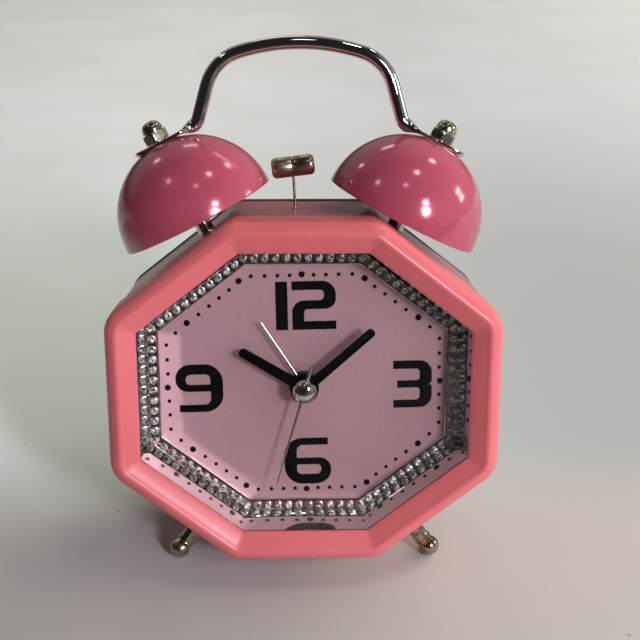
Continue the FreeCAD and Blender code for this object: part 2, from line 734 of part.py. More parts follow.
def make_inner_frame():
    body = octagon_prism(FRAME_OUT, FRAME_Y0, FRAME_Y1)
    body = body.cut(cylinder(BOSS_R + 0.1, -1, 3))
    posts = [cylinder(PILLAR_R, FRAME_Y0 + 0.5, CASE_BACK_Y, x, z) for x, z in PILLARS]
    posts += [cylinder(PILLAR_R, FRAME_Y0 + 0.5, BRACKET_Y, x, z) for x, z in BRACKET_PILLARS]
    for side in (-1, 1):
        near, far = side * (MOVEMENT_X + 0.1), side * (MOVEMENT_X + 1.9)
        posts.append(block(min(near, far), max(near, far), FRAME_Y0 + 0.5, MOVEMENT_Y1 + 1.4, -4, 4))
        tip = side * (MOVEMENT_X - 0.8)
        posts.append(block(min(tip, far), max(tip, far), MOVEMENT_Y1 + 0.05, MOVEMENT_Y1 + 1.4, -4, 4))
    body = join([body] + posts)
    for x, z in PILLARS:
        body = body.cut(cylinder(SCREW_R + PILOT_GAP, CASE_BACK_Y - 9, CASE_BACK_Y + 1, x, z))
    for x, z in BRACKET_PILLARS:
        body = body.cut(cylinder(SCREW_R + PILOT_GAP, BRACKET_Y - 7, BRACKET_Y + 1, x, z))
    for x, z in bezel_screw_places():
        body = body.cut(cylinder(0.85, -1, 4, x, z))
    return body


nodes["inner_frame"] = make_inner_frame()


def screw(x, z, y_head, head_h, head_r, shank_r, length, countersunk=False):
    """Screw driven forwards: its head starts at y_head and its shank points to the dial."""
    if countersunk:
        head = Part.makeCone(shank_r, head_r, head_h, V(x, y_head, z), V(0, 1, 0))
    else:
        head = cylinder(head_r, y_head, y_head + head_h, x, z)
    shank = cylinder(shank_r, y_head - length, y_head + head_h / 2, x, z)
    top = y_head + head_h
    arm = head_r * 0.62
    slots = join([block(x - arm, x + arm, top - 0.4, top + 1, z - 0.2, z + 0.2),
                  block(x - 0.2, x + 0.2, top - 0.4, top + 1, z - arm, z + arm)])
    return join([head, shank]).cut(slots)


nodes["bezel_screws"] = Part.Compound(
    [screw(x, z, FRAME_Y1, 0.9, 1.2, 0.7, 7.0) for x, z in bezel_screw_places()])


# Bells, posts and nuts share one leaned axis on each side
SIDES = ((-1, "left"), (1, "right"))
STUD_HOLE_R = STUD_D / 2 + 0.1
BELL_CROWN = BELL_R - BELL_FLAT
LUG_S = BELL_CROWN
STUD_S0 = -12.4
BOSS_S = -8.6


def on_bell_axis(shape, side):
    return along_axis(shape, V(side * BELL_X + TOP_SHIFT, BELL_Y, BELL_Z), side * BELL_TILT)


def make_bell():
    """Spun dome with a short upright band at the mouth, and a hole in its small flat crown."""
    outer = Part.makeSphere(BELL_R, V(0, 0, 0), V(0, 0, 1), 0, 90, 360)
    outer = join([outer, Part.makeCylinder(BELL_R, BELL_BAND, V(0, 0, -BELL_BAND))])
    inner = Part.makeSphere(BELL_R - BELL_T, V(0, 0, 0), V(0, 0, 1), 0, 90, 360)
    inner = join([inner, Part.makeCylinder(BELL_R - BELL_T, 3, V(0, 0, -3))])
    wide = 3 * BELL_R
    outer = outer.common(Part.makeBox(wide, wide, 60, V(-wide / 2, -wide / 2, BELL_CROWN - 60)))
    inner = inner.common(Part.makeBox(wide, wide, 60, V(-wide / 2, -wide / 2, BELL_CROWN - BELL_T - 60)))
    return outer.cut(inner).cut(Part.makeCylinder(STUD_HOLE_R, 5, V(0, 0, BELL_R - 3)))


def make_bell_sleeve(side):
    """Plain tube between the case's sloping shoulder and the crown of the bell."""
    top = BELL_CROWN - BELL_T
    body = Part.makeCylinder(POST_D / 2, top + 12, V(0, 0, -12))
    body = on_bell_axis(body.cut(Part.makeCylinder(STUD_HOLE_R, 60, V(0, 0, -20))), side)
    return body.cut(octagon_prism(CASE_OUT, 0, CASE_BACK_Y))


def make_dome_nut():
    corner = NUT_AF / 2 / math.cos(math.pi / 6)
    pts = [V(corner * math.cos(k * math.pi / 3 + 0.3), corner * math.sin(k * math.pi / 3 + 0.3), 0)
           for k in range(6)]
    hexagon = Part.Face(Part.makePolygon(pts + pts[:1])).extrude(V(0, 0, NUT_H))
    chamfer = Part.makeCone(corner - 0.45, corner + 2.0, 2.45, V(0, 0, 0))
    chamfer_top = Part.makeCone(corner + 2.0, corner - 0.45, 2.45, V(0, 0, NUT_H - 2.45))
    hexagon = hexagon.common(chamfer).common(chamfer_top)
    radius = DOME_D / 2
    neck = Part.makeCylinder(radius, DOME_H - radius + 0.5, V(0, 0, NUT_H - 0.5))
    dome = Part.makeSphere(radius, V(0, 0, NUT_H + DOME_H - radius))
    bore = Part.makeCylinder(STUD_D / 2 + PILOT_GAP, 5.2, V(0, 0, -0.2))
    return join([hexagon, neck, dome]).cut(bore)


def make_stud_nut():
    corner = 7.0 / 2 / math.cos(math.pi / 6)
    pts = [V(corner * math.cos(k * math.pi / 3), corner * math.sin(k * math.pi / 3), 0)
           for k in range(6)]
    return Part.Face(Part.makePolygon(pts + pts[:1])).extrude(V(0, 0, 2.6)).cut(
        Part.makeCylinder(STUD_D / 2 + PILOT_GAP, 9, V(0, 0, -3)))


bell = make_bell()
for side, name in SIDES:
    nodes[name + "_bell"] = on_bell_axis(bell, side)
nodes["bell_posts"] = Part.Compound([make_bell_sleeve(side) for side, _ in SIDES])
stud = Part.makeCylinder(STUD_D / 2, LUG_S + LUG_T + 4.6 - STUD_S0, V(0, 0, STUD_S0))
nodes["bell_studs"] = Part.Compound([on_bell_axis(stud, side) for side, _ in SIDES])
dome_nut = make_dome_nut()
dome_nut.translate(V(0, 0, LUG_S + LUG_T))
nodes["dome_nuts"] = Part.Compound([on_bell_axis(dome_nut, side) for side, _ in SIDES])
stud_nut = make_stud_nut()
stud_nut.translate(V(0, 0, BOSS_S - 2.6))
nodes["stud_nuts"] = Part.Compound([on_bell_axis(stud_nut, side) for side, _ in SIDES])


# Handle: one bent rod, its ends pressed flat into lugs under the dome nuts
LUG_MID_S = LUG_S + LUG_T / 2
LUG_AT = (BELL_X + LUG_MID_S * math.sin(BELL_TILT), BELL_Z + LUG_MID_S * math.cos(BELL_TILT))
HANDLE_TOP_Z = LUG_AT[1] + HANDLE_RISE
TOP_ARC_R = 64.0
TOP_ARC_INSET = 25.3
TOP_ARC_X = LUG_AT[0] - TOP_ARC_INSET
SHOULDER_R = 14.3
LEG_LEAN = math.radians(15.9)
BEND_R = 3.6


def handle_half_points():
    """Corner points of the right half: arc ends, shoulder, leg, bend and the lug's line."""
    a = math.asin(TOP_ARC_X / TOP_ARC_R)
    centre_z = HANDLE_TOP_Z - TOP_ARC_R
    p_top = (TOP_ARC_X, centre_z + TOP_ARC_R * math.cos(a))
    sx = p_top[0] - SHOULDER_R * math.sin(a)
    sz = p_top[1] - SHOULDER_R * math.cos(a)
    b = math.pi / 2 - LEG_LEAN
    p_leg = (sx + SHOULDER_R * math.sin(b), sz + SHOULDER_R * math.cos(b))
    mid = (a + b) / 2
    p_mid = (sx + SHOULDER_R * math.sin(mid), sz + SHOULDER_R * math.cos(mid))
    # crossing of the leg's line with the lug's middle line
    lug = LUG_AT
    dl = (math.sin(LEG_LEAN), -math.cos(LEG_LEAN))
    du = (math.cos(BELL_TILT), -math.sin(BELL_TILT))
    det = dl[0] * -du[1] + dl[1] * du[0]
    k = ((lug[0] - p_leg[0]) * -du[1] + (lug[1] - p_leg[1]) * du[0]) / det
    corner = (p_leg[0] + k * dl[0], p_leg[1] + k * dl[1])
    turn = (b - BELL_TILT)
    run = BEND_R * math.tan(turn / 2)
    q1 = (corner[0] - run * dl[0], corner[1] - run * dl[1])
    q2 = (corner[0] + run * du[0], corner[1] + run * du[1])
    bis = (du[0] - dl[0], du[1] - dl[1])
    size = math.hypot(*bis)
    sag = BEND_R / math.cos(turn / 2) - BEND_R
    q_mid = (corner[0] + sag * bis[0] / size, corner[1] + sag * bis[1] / size)
    return p_top, p_mid, p_leg, q1, q_mid, q2, lug, du


def make_handle():
    p_top, p_mid, p_leg, q1, q_mid, q2, lug, du = handle_half_points()

    def at(p, side=1):
        return V(side * p[0], BELL_Y, p[1])

    def arc(a, b, c):
        return Part.Arc(a, b, c).toShape()

    tip = (q2[0] + 1.2 * du[0], q2[1] + 1.2 * du[1])
    right = [arc(at(p_top), at(p_mid), at(p_leg)),
             Part.LineSegment(at(p_leg), at(q1)).toShape(),
             arc(at(q1), at(q_mid), at(q2)),
             Part.LineSegment(at(q2), at(tip)).toShape()]
    left = [Part.LineSegment(at(tip, -1), at(q2, -1)).toShape(),
            arc(at(q2, -1), at(q_mid, -1), at(q1, -1)),
            Part.LineSegment(at(q1, -1), at(p_leg, -1)).toShape(),
            arc(at(p_leg, -1), at(p_mid, -1), at(p_top, -1))]
    top = arc(at(p_top, -1), V(0, BELL_Y, HANDLE_TOP_Z), at(p_top))
    path = Part.Wire(left + [top] + right)
    ring = Part.Wire(Part.Circle(at(tip, -1), V(du[0], 0, -du[1]), ROD_D / 2).toShape())
    body = path.makePipeShell([ring], True, False)
    body.translate(V(TOP_SHIFT, 0, 0))
    for side, _ in SIDES:
        end = make_lug(math.hypot(lug[0] - q2[0], lug[1] - q2[1]))
        end.rotate(V(0, 0, 0), V(0, 0, 1), 90 - 90 * side)
        body = body.fuse(on_bell_axis(end, side))
    for side, _ in SIDES:
        body = body.cut(on_bell_axis(Part.makeCylinder(STUD_HOLE_R, 10, V(0, 0, LUG_S - 4)), side))
    return body


def make_lug(reach):
    """Flattened rod end on the bell's axis; the rod arrives from -X at the given reach."""
    middle = LUG_S + LUG_T / 2

    def oval(x, wide, high):
        e = Part.Ellipse(V(x, wide, middle), V(x, 0, middle + high), V(x, 0, middle))
        return Part.Wire(e.toShape())

    end = LUG_L / 2 - 1.2
    r = ROD_D / 2
    stages = [(-reach, r - 0.3, r - 0.31),
              (-reach + (reach - end) * 0.35, r + 0.6, r - 0.35),
              (-reach + (reach - end) * 0.75, LUG_W / 2 - 0.5, LUG_T / 2 + 0.25),
              (-end, LUG_W / 2, LUG_T / 2)]
    swage = Part.makeLoft([oval(*s) for s in stages], True, False)
    half = LUG_W / 2
    x0, x1 = -LUG_L / 2, LUG_L / 2
    pts = [V(x0 + 1.0, -half, 0), V(x1 - half, -half, 0), V(x1, 0, 0), V(x1 - half, half, 0),
           V(x0 + 1.0, half, 0)]
    outline = Part.Wire([Part.LineSegment(pts[0], pts[1]).toShape(),
                         Part.Arc(pts[1], pts[2], pts[3]).toShape(),
                         Part.LineSegment(pts[3], pts[4]).toShape(),
                         Part.LineSegment(pts[4], pts[0]).toShape()])
    flat = Part.Face(outline).extrude(V(0, 0, LUG_T))
    flat.translate(V(0, 0, LUG_S))
    return swage.fuse(flat)


nodes["handle"] = make_handle()


# Feet: turned legs with ball ends, each held by a screw from inside the case
def foot_frame(shape, side):
    """Place a shape drawn down the Z axis from the case's lower slope to the ball."""
    placed = shape.copy()
    placed.rotate(V(0, 0, 0), V(0, 1, 0), -side * math.degrees(SLOPE))
    placed.translate(V(side * FOOT_X, FOOT_Y, FOOT_Z))
    return placed


FOOT_SCREW_R = 1.2
FOOT_BORE = 7.0


def make_foot(side):
    leg = Part.makeCone(LEG_NECK_R, LEG_R, FOOT_REACH + 2, V(0, 0, 0), V(0, 0, 1))
    ball = Part.makeSphere(FOOT_BALL_R)
    body = foot_frame(join([leg, ball]), side).cut(octagon_prism(CASE_OUT, -9, CASE_BACK_Y))
    bore = Part.makeCylinder(FOOT_SCREW_R + PILOT_GAP, FOOT_BORE + 0.4 + 5,
                             V(0, 0, FOOT_REACH - FOOT_BORE - 0.4))
    return body.cut(foot_frame(bore, side))


def make_foot_screw(side):
    seat = FOOT_REACH + CASE_WALL
    head = Part.makeCylinder(2.2, 1.1, V(0, 0, seat))
    shank = Part.makeCylinder(FOOT_SCREW_R, FOOT_BORE + CASE_WALL + 0.3,
                              V(0, 0, seat - CASE_WALL - FOOT_BORE))
    slot = Part.makeBox(3.0, 0.5, 1, V(-1.5, -0.25, seat + 0.7))
    return foot_frame(join([head, shank]).cut(slot), side)


nodes["left_foot"] = make_foot(-1)
nodes["right_foot"] = make_foot(1)
nodes["foot_screws"] = Part.Compound([make_foot_screw(side) for side, _ in SIDES])
for side, _ in SIDES:
    pocket = Part.makeBox(5.6, 5.6, 9, V(-2.8, -2.8, FOOT_REACH - 1))
    pocket = foot_frame(pocket, side).common(octagon_prism(CASE_OUT - CASE_WALL + 0.05, -1, 20))
    pocket = pocket.cut(block(-90, 90, -2, BEZEL_BACK_Y + 0.8, -90, 90))
    nodes["front_bezel"] = nodes["front_bezel"].cut(pocket)


# Case shell: painted octagonal tube with bosses for the bell studs
SLOT_HALF_Y = 1.1


def wire_x(z, swing=0.0):
    """Where the hammer wire crosses a height, with the hammer swung by some degrees."""
    lean = math.atan2(HAMMER_X - PIVOT_X, HAMMER_Z - PIVOT_Z) + math.radians(swing)
    return PIVOT_X + (z - PIVOT_Z) * math.tan(lean)


def make_case_shell():
    y0, y1 = BEZEL_BACK_Y + 0.05, CASE_BACK_Y
    outer = octagon_prism(CASE_OUT, y0, y1)
    hollow = octagon_prism(CASE_OUT - CASE_WALL, y0 - 1, y1 + 1)
    shell = outer.cut(hollow)
    for side, _ in SIDES:
        boss = on_bell_axis(Part.makeCylinder(4.5, 8, V(0, 0, BOSS_S)), side)
        shell = shell.fuse(boss.common(outer))
    shell = shell.removeSplitter()
    for side, _ in SIDES:
        shell = shell.cut(on_bell_axis(Part.makeCylinder(STUD_HOLE_R, 20, V(0, 0, -15)), side))
        hole = Part.makeCylinder(FOOT_SCREW_R + 0.15, 5, V(0, 0, FOOT_REACH - 1))
        shell = shell.cut(foot_frame(hole, side))
    top = LIP_HALF_H + CASE_OUT
    x0 = wire_x(top, HAMMER_SWING[0]) - WIRE_D / 2 - 0.6
    x1 = wire_x(top, HAMMER_SWING[1]) + WIRE_D / 2 + 0.6
    slot = block(x0, x1, BELL_Y - SLOT_HALF_Y, BELL_Y + SLOT_HALF_Y, top - 3, top + 1)
    return shell.cut(slot)


nodes["case_shell"] = make_case_shell()

# Rear cover with its spigot, battery trough and door track
BATTERY_R = 7.2
BATTERY_L = 50.4
TROUGH_Z = (-34.5, -18.0)
TROUGH_X = 28.0
TROUGH_Y = 24.5
TROUGH_WALL = 1.5
DOOR_Y = (41.2, 42.4)
DOOR_HALF_W = 30.0
DOOR_Z = (-36.0, -16.5)
DOOR_TRAVEL = 7.0
DOVETAIL = 0.8
SWITCH_AT = (-20.0, 22.0)
SWITCH_TRAVEL = 5.0
KNOB_HOLE_R = STEM_R + 0.35


def dovetail_plate(half_w, z0, z1, y0, y1):
    """Plate whose side edges lean in towards its outer face, so that its track can hold it."""
    pts = [V(-half_w, y0, z0), V(half_w, y0, z0), V(half_w - DOVETAIL, y1, z0),
           V(-half_w + DOVETAIL, y1, z0)]
    return Part.Face(Part.makePolygon(pts + pts[:1])).extrude(V(0, 0, z1 - z0))


def make_rear_cover():
    y0, y1 = CASE_BACK_Y, COVER_BACK_Y
    lid = octagon_prism(COVER_OUT, y0, y1)
    rim = octagon_prism(CASE_OUT - CASE_WALL - 0.15, y0 - COVER_RIM, y0 + 0.5)
    rim = rim.cut(octagon_prism(CASE_OUT - CASE_WALL - 1.5, y0 - COVER_RIM - 1, y0 + 1))
    w = TROUGH_WALL
    box = block(-TROUGH_X - w, TROUGH_X + w, TROUGH_Y - w, y0 + 0.5, TROUGH_Z[0] - w, TROUGH_Z[1] + w)
    body = join([lid, rim, box])
    body = body.cut(block(-TROUGH_X, TROUGH_X, TROUGH_Y, y1 + 1, *TROUGH_Z))
    track = dovetail_plate(DOOR_HALF_W + 0.3, DOOR_Z[0] - DOOR_TRAVEL - 0.35, DOOR_Z[1] + 0.35,
                           DOOR_Y[0] - 0.3, y1 + 0.0001)
    body = body.cut(track)
    for x, z in (MOTION_AT, ALARM_STEM_AT):
        body = body.cut(cylinder(KNOB_HOLE_R, y0 - 1, y1 + 1, x, z))
    for x, z in PILLARS:
        body = body.cut(cylinder(SCREW_R + 0.15, y0 - 1, y1 + 1, x, z))
        head = Part.makeCone(SCREW_R + 0.1, 2.1, 1.2, V(x, y1 - 1.2, z), V(0, 1, 0))
        body = body.cut(head)
    x, z = SWITCH_AT
    reach = SWITCH_TRAVEL / 2 + 1.5 + LOOSE + 0.1
    return body.cut(block(x - reach, x + reach, y0 - 1, y1 + 1, z - 1.4, z + 1.4))


nodes["rear_cover"] = make_rear_cover()
nodes["cover_screws"] = Part.Compound(
    [screw(x, z, COVER_BACK_Y - 1.15, 1.1, 2.0, SCREW_R, 8.0, True) for x, z in PILLARS])


def make_battery_door():
    door = dovetail_plate(DOOR_HALF_W, DOOR_Z[0], DOOR_Z[1], *DOOR_Y)
    grips = [block(-6, 6, DOOR_Y[1] - 0.2, DOOR_Y[1] + 0.5, DOOR_Z[1] - d, DOOR_Z[1] - d + 0.7)
             for d in (6.5, 5.0, 3.5)]
    return join([door] + grips)


nodes["battery_door"] = make_battery_door()


def along_x(radius, x0, x1, y, z):
    return Part.makeCylinder(radius, x1 - x0, V(x0, y, z), V(1, 0, 0))


BATTERY_Y = TROUGH_Y + 1.0 + BATTERY_R
BATTERY_Z = (TROUGH_Z[0] + TROUGH_Z[1]) / 2
nodes["battery"] = join([
    along_x(BATTERY_R, -BATTERY_L / 2, BATTERY_L / 2 - 1.2, BATTERY_Y, BATTERY_Z),
    along_x(2.7, BATTERY_L / 2 - 1.5, BATTERY_L / 2, BATTERY_Y, BATTERY_Z)])


def make_contact(side):
    """Sheet contact on the trough's end wall with a pressed dimple that meets the battery."""
    wall = side * TROUGH_X
    inner = wall - side * 0.4
    tip = side * BATTERY_L / 2
    sheet = block(min(wall, inner), max(wall, inner), TROUGH_Y + 1.5, TROUGH_Y + 12.5,
                  TROUGH_Z[0] + 3, TROUGH_Z[1] - 3)
    dimple = along_x(2.2, min(inner, tip), max(inner, tip), BATTERY_Y, BATTERY_Z)
    return join([sheet, dimple])


nodes["battery_contacts"] = Part.Compound([make_contact(side) for side, _ in SIDES])


# Setting knobs and the alarm's slide switch
def make_knob(at):
    body = cylinder(6.0, KNOB_Y0, KNOB_Y0 + KNOB_L, *at)
    edge = [e for e in body.Edges if abs(e.BoundBox.YMin - KNOB_Y0 - KNOB_L) < 1e-6
            and e.BoundBox.XLength > 6]
    body = body.makeChamfer(0.6, edge)
    for k in range(16):
        x, z = polar(6.45, k * 22.5)
        body = body.cut(cylinder(0.9, KNOB_Y0 + 1.2, KNOB_Y0 + KNOB_L + 1, at[0] + x, at[1] + z))
    return body.cut(cylinder(STEM_R, KNOB_Y0 - 1, KNOB_Y0 + 3.0, *at))


nodes["time_set_knob"] = make_knob(MOTION_AT)
nodes["alarm_set_knob"] = make_knob(ALARM_STEM_AT)


def make_alarm_switch():
    """Slider that starts at the left end of its travel, with a ribbed button outside."""
    x, z = SWITCH_AT[0] - SWITCH_TRAVEL / 2, SWITCH_AT[1]
    carrier = block(x - 4.5, x + 4.5, 35.5, CASE_BACK_Y - LOOSE, z - 3.0, z + 3.0)
    neck = block(x - 1.5, x + 1.5, CASE_BACK_Y - 1, COVER_BACK_Y + 1, z - 1.1, z + 1.1)
    button = block(x - 3, x + 3, COVER_BACK_Y + LOOSE, COVER_BACK_Y + 1.8, z - 2.5, z + 2.5)
    ribs = [block(x + d - 0.25, x + d + 0.25, COVER_BACK_Y + 1.6, COVER_BACK_Y + 2.2, z - 2.2, z + 2.2)
            for d in (-1.6, -0.8, 0, 0.8, 1.6)]
    return join([carrier, neck, button] + ribs)


def make_switch_housing():
    x, z = SWITCH_AT
    reach = SWITCH_TRAVEL / 2 + 4.5 + LOOSE
    outer = block(x - reach - 1.1, x + reach + 1.1, 34.1, CASE_BACK_Y, z - 4.4, z + 4.4)
    return outer.cut(block(x - reach, x + reach, 35.2, CASE_BACK_Y + 1, z - 3.3, z + 3.3))


nodes["alarm_switch"] = make_alarm_switch()
nodes["switch_housing"] = make_switch_housing()


# Bell hammer: head, wire and forked lever, which turn together on a pin in the bracket
WIRE_LEAN = math.degrees(math.atan2(HAMMER_X - PIVOT_X, HAMMER_Z - PIVOT_Z))
WIRE_L = math.hypot(HAMMER_X - PIVOT_X, HAMMER_Z - PIVOT_Z)
SWING_MID = (HAMMER_SWING[0] + HAMMER_SWING[1]) / 2
SWING_HALF = (HAMMER_SWING[1] - HAMMER_SWING[0]) / 2
LEVER_Y = (19.3, 20.7)
PIVOT_R = 1.0
CRANK_AT = (PIVOT_X, PIVOT_Z - FORK_DROP)
GEAR_MODULE = 0.4
MOTOR_AT = (CRANK_AT[0] + polar(10.0, 75)[0], CRANK_AT[1] + polar(10.0, 75)[1])
FORK_HALF = (CRANK_PIN_D / 2 + CRANK_THROW + (FORK_DROP + CRANK_THROW) * math.sin(math.radians(SWING_HALF))
             + LOOSE)


def swung(shape, degrees):
    """Turn a shape drawn about the pivot at the origin, then carry it to the pivot."""
    moved = shape.copy()
    moved.rotate(V(0, 0, 0), V(0, 1, 0), degrees)
    moved.translate(V(PIVOT_X, 0, PIVOT_Z))
    return moved


def make_hammer_head():
    half = HAMMER_L / 2
    r = HAMMER_D / 2
    c = 1.3
    profile = [(0, -half), (r - c, -half), (r - 0.35, -half + 0.5), (r, -half + c + 0.2),
               (r, -0.35), (r - 0.3, -0.2), (r - 0.3, 0.2), (r, 0.35),
               (r, half - c - 0.2), (r - 0.35, half - 0.5), (r - c, half), (0, half)]
    head = turned(profile)
    head.rotate(V(0, 0, 0), V(0, 1, 0), 90 - HAMMER_TILT)
    head.translate(V(HAMMER_X, BELL_Y, HAMMER_Z))
    return head


def hammer_wire(radius):
    rod = Part.makeCylinder(radius, WIRE_L - 1.5, V(0, BELL_Y, 1.5))
    return swung(rod, WIRE_LEAN)


nodes["hammer_wire"] = hammer_wire(WIRE_D / 2)
nodes["hammer_head"] = make_hammer_head().cut(hammer_wire(WIRE_D / 2 + 0.01))


def make_hammer_lever():
    """Hub on the pin, a tongue that grips the wire, and a fork that straddles the crank pin."""
    y0, y1 = LEVER_Y
    hub = cylinder(2.1, y0 - 0.5, BRACKET_Y - LOOSE)
    tongue = block(-1.3, 1.3, y0 - 0.5, y1 + 0.3, 0, 5.5)
    tongue.rotate(V(0, 0, 0), V(0, 1, 0), WIRE_LEAN)
    outer = FORK_HALF + 1.3
    bottom = -FORK_DROP - CRANK_THROW - 1.6
    fork = block(-outer, outer, y0, y1, bottom, -FORK_DROP + CRANK_THROW + 2.6)
    gap = block(-FORK_HALF, FORK_HALF, y0 - 1, y1 + 1, bottom - 1, -FORK_DROP + CRANK_THROW + 1.1)
    neck = block(-1.4, 1.4, y0, y1, -FORK_DROP + CRANK_THROW + 1.4, 0)
    lower = join([fork.cut(gap), neck])
    lower.rotate(V(0, 0, 0), V(0, 1, 0), -SWING_MID)
    body = join([hub, tongue, lower]).cut(cylinder(PIVOT_R + FIT, y0 - 2, BRACKET_Y))
    return swung(body, 0).cut(hammer_wire(WIRE_D / 2 + 0.01))


nodes["hammer_lever"] = make_hammer_lever()


def headed_pin(at, r, y0, y1, head_r, head_h):
    """Fixed pin through the bracket whose head keeps the turning piece on it."""
    return join([cylinder(r, y0, y1, *at), cylinder(head_r, y0, y0 + head_h, *at)])


PIVOT_AT = (PIVOT_X, PIVOT_Z)
nodes["hammer_pivot_pin"] = headed_pin(PIVOT_AT, PIVOT_R, LEVER_Y[0] - 1.4,
                                       BRACKET_Y + BRACKET_T + 0.5, 1.7, 0.6)
CRANK_Y = (21.4, 23.1)
CRANK_WEB = 0.5
nodes["gear_axle"] = cylinder(1.0, CRANK_Y[0] + CRANK_WEB + 0.1, BRACKET_Y + BRACKET_T, *CRANK_AT)


def make_crank_gear():
    """Gear with a blind bore on the axle; the crank pin stands on its closed front."""
    wheel = gear(GEAR_MODULE, 40, CRANK_Y[0], CRANK_Y[1], CRANK_AT, 0.2, MOTOR_AT, True)
    core = cylinder(0.5, CRANK_Y[0], CRANK_Y[1], *CRANK_AT)
    pin = cylinder(CRANK_PIN_D / 2, LEVER_Y[0] - 0.4, CRANK_Y[0], CRANK_AT[0] + CRANK_THROW, CRANK_AT[1])
    return join([wheel, core, pin]).cut(
        cylinder(1.0 + FIT, CRANK_Y[0] + CRANK_WEB, CRANK_Y[1] + 1, *CRANK_AT))


nodes["crank_gear"] = make_crank_gear()

# Bell motor behind the bracket, its pinion in front
MOTOR_R = 7.75
MOTOR_L = 12.0
SHAFT_R = 0.75


def make_bell_motor():
    y0 = BRACKET_Y + BRACKET_T
    can = cylinder(MOTOR_R, y0, y0 + MOTOR_L, *MOTOR_AT)
    nose = cylinder(2.8, BRACKET_Y + 0.2, y0, *MOTOR_AT)
    tail = cylinder(2.4, y0 + MOTOR_L, y0 + MOTOR_L + 1.0, *MOTOR_AT)
    return join([can, nose, tail]).cut(cylinder(SHAFT_R + FIT, BRACKET_Y - 1, y0 + 6.2, *MOTOR_AT))


nodes["bell_motor"] = make_bell_motor()
nodes["motor_pinion"] = join([
    gear(GEAR_MODULE, 10, CRANK_Y[0] - 0.1, CRANK_Y[1] + 0.1, MOTOR_AT, 0.2, CRANK_AT),
    cylinder(SHAFT_R, CRANK_Y[0] - 0.1, BRACKET_Y + BRACKET_T + 6.0, *MOTOR_AT)])


def make_hammer_bracket():
    top = LIP_HALF_H + 0.4
    outline = [(-26, 16, 1.5), (26, 16, 1.5), (26, 34.5, 1.5), (16, 34.5, 1.0), (12, top, 1.5),
               (-12, top, 1.5), (-16, 34.5, 1.0), (-26, 34.5, 1.5)]
    holes = [(x, z, SCREW_R + 0.15) for x, z in BRACKET_PILLARS]
    holes += [PIVOT_AT + (PIVOT_R,), CRANK_AT + (1.0,), MOTOR_AT + (2.8 + FIT,)]
    return plate(outline, BRACKET_Y, BRACKET_Y + BRACKET_T, holes)


nodes["hammer_bracket"] = make_hammer_bracket()
nodes["bracket_screws"] = Part.Compound(
    [screw(x, z, BRACKET_Y + BRACKET_T, 1.3, 1.9, SCREW_R, 7.0) for x, z in BRACKET_PILLARS])


# Stand the clock: lean it back onto the cover's lower edge and trim small flats to rest on
FLAT = 0.25
EDGE_Z = -(LIP_HALF_H + COVER_OUT)


def lean_angle():
    """Angle at which the balls and the cover's lower edge reach the same level."""
    lean = 0.2
    for _ in range(20):
        lean = math.asin(((EDGE_Z - FOOT_Z) * math.cos(lean) + FOOT_BALL_R) / (COVER_BACK_Y - FOOT_Y))
    return lean


LEAN = lean_angle()
GROUND = EDGE_Z * math.cos(LEAN) - COVER_BACK_Y * math.sin(LEAN) + FLAT
for name in nodes:
    nodes[name].rotate(V(0, 0, 0), V(1, 0, 0), -math.degrees(LEAN))
below = Part.makeBox(400, 400, 60, V(-200, -200, GROUND - 60))
for name in ("left_foot", "right_foot", "rear_cover"):
    nodes[name] = nodes[name].cut(below)
boxes = [shape.optimalBoundingBox() for shape in nodes.values()]
front = min(b.YMin for b in boxes)
back = max(b.YMax for b in boxes)
origin = V(0, -(front + back) / 2, -GROUND)
os.makedirs("parts", exist_ok=True)
for name, shape in nodes.items():
    shape.translate(origin)
    shape.exportStep("parts/" + name + ".step")
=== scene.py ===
"""Octagonal twin bell alarm clock with a stone-set dial, finished in Blender.

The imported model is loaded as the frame. Pieces are drawn in millimetres in the dial's own frame
(X right, Y backwards, Z up, origin at the middle of the dial face) and then stood up as the clock
stands. Sections follow the clock as it is put together, from the front moulding to the back.
"""

import math

import bmesh
import bpy
from mathutils import Matrix, Vector


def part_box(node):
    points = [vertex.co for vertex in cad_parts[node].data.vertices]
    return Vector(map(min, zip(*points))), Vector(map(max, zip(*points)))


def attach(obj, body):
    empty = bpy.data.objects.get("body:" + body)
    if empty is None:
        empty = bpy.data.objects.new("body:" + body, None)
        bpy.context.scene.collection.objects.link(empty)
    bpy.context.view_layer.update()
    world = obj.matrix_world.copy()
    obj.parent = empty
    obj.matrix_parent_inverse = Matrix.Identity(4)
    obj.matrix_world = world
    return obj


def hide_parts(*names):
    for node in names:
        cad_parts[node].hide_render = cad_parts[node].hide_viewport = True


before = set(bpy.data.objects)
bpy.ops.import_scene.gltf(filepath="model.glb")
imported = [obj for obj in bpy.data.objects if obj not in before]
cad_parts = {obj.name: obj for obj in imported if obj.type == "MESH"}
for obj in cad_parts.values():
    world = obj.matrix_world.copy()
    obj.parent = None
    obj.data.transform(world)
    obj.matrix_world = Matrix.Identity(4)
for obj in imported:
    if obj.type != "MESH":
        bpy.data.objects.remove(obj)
bpy.context.view_layer.update()


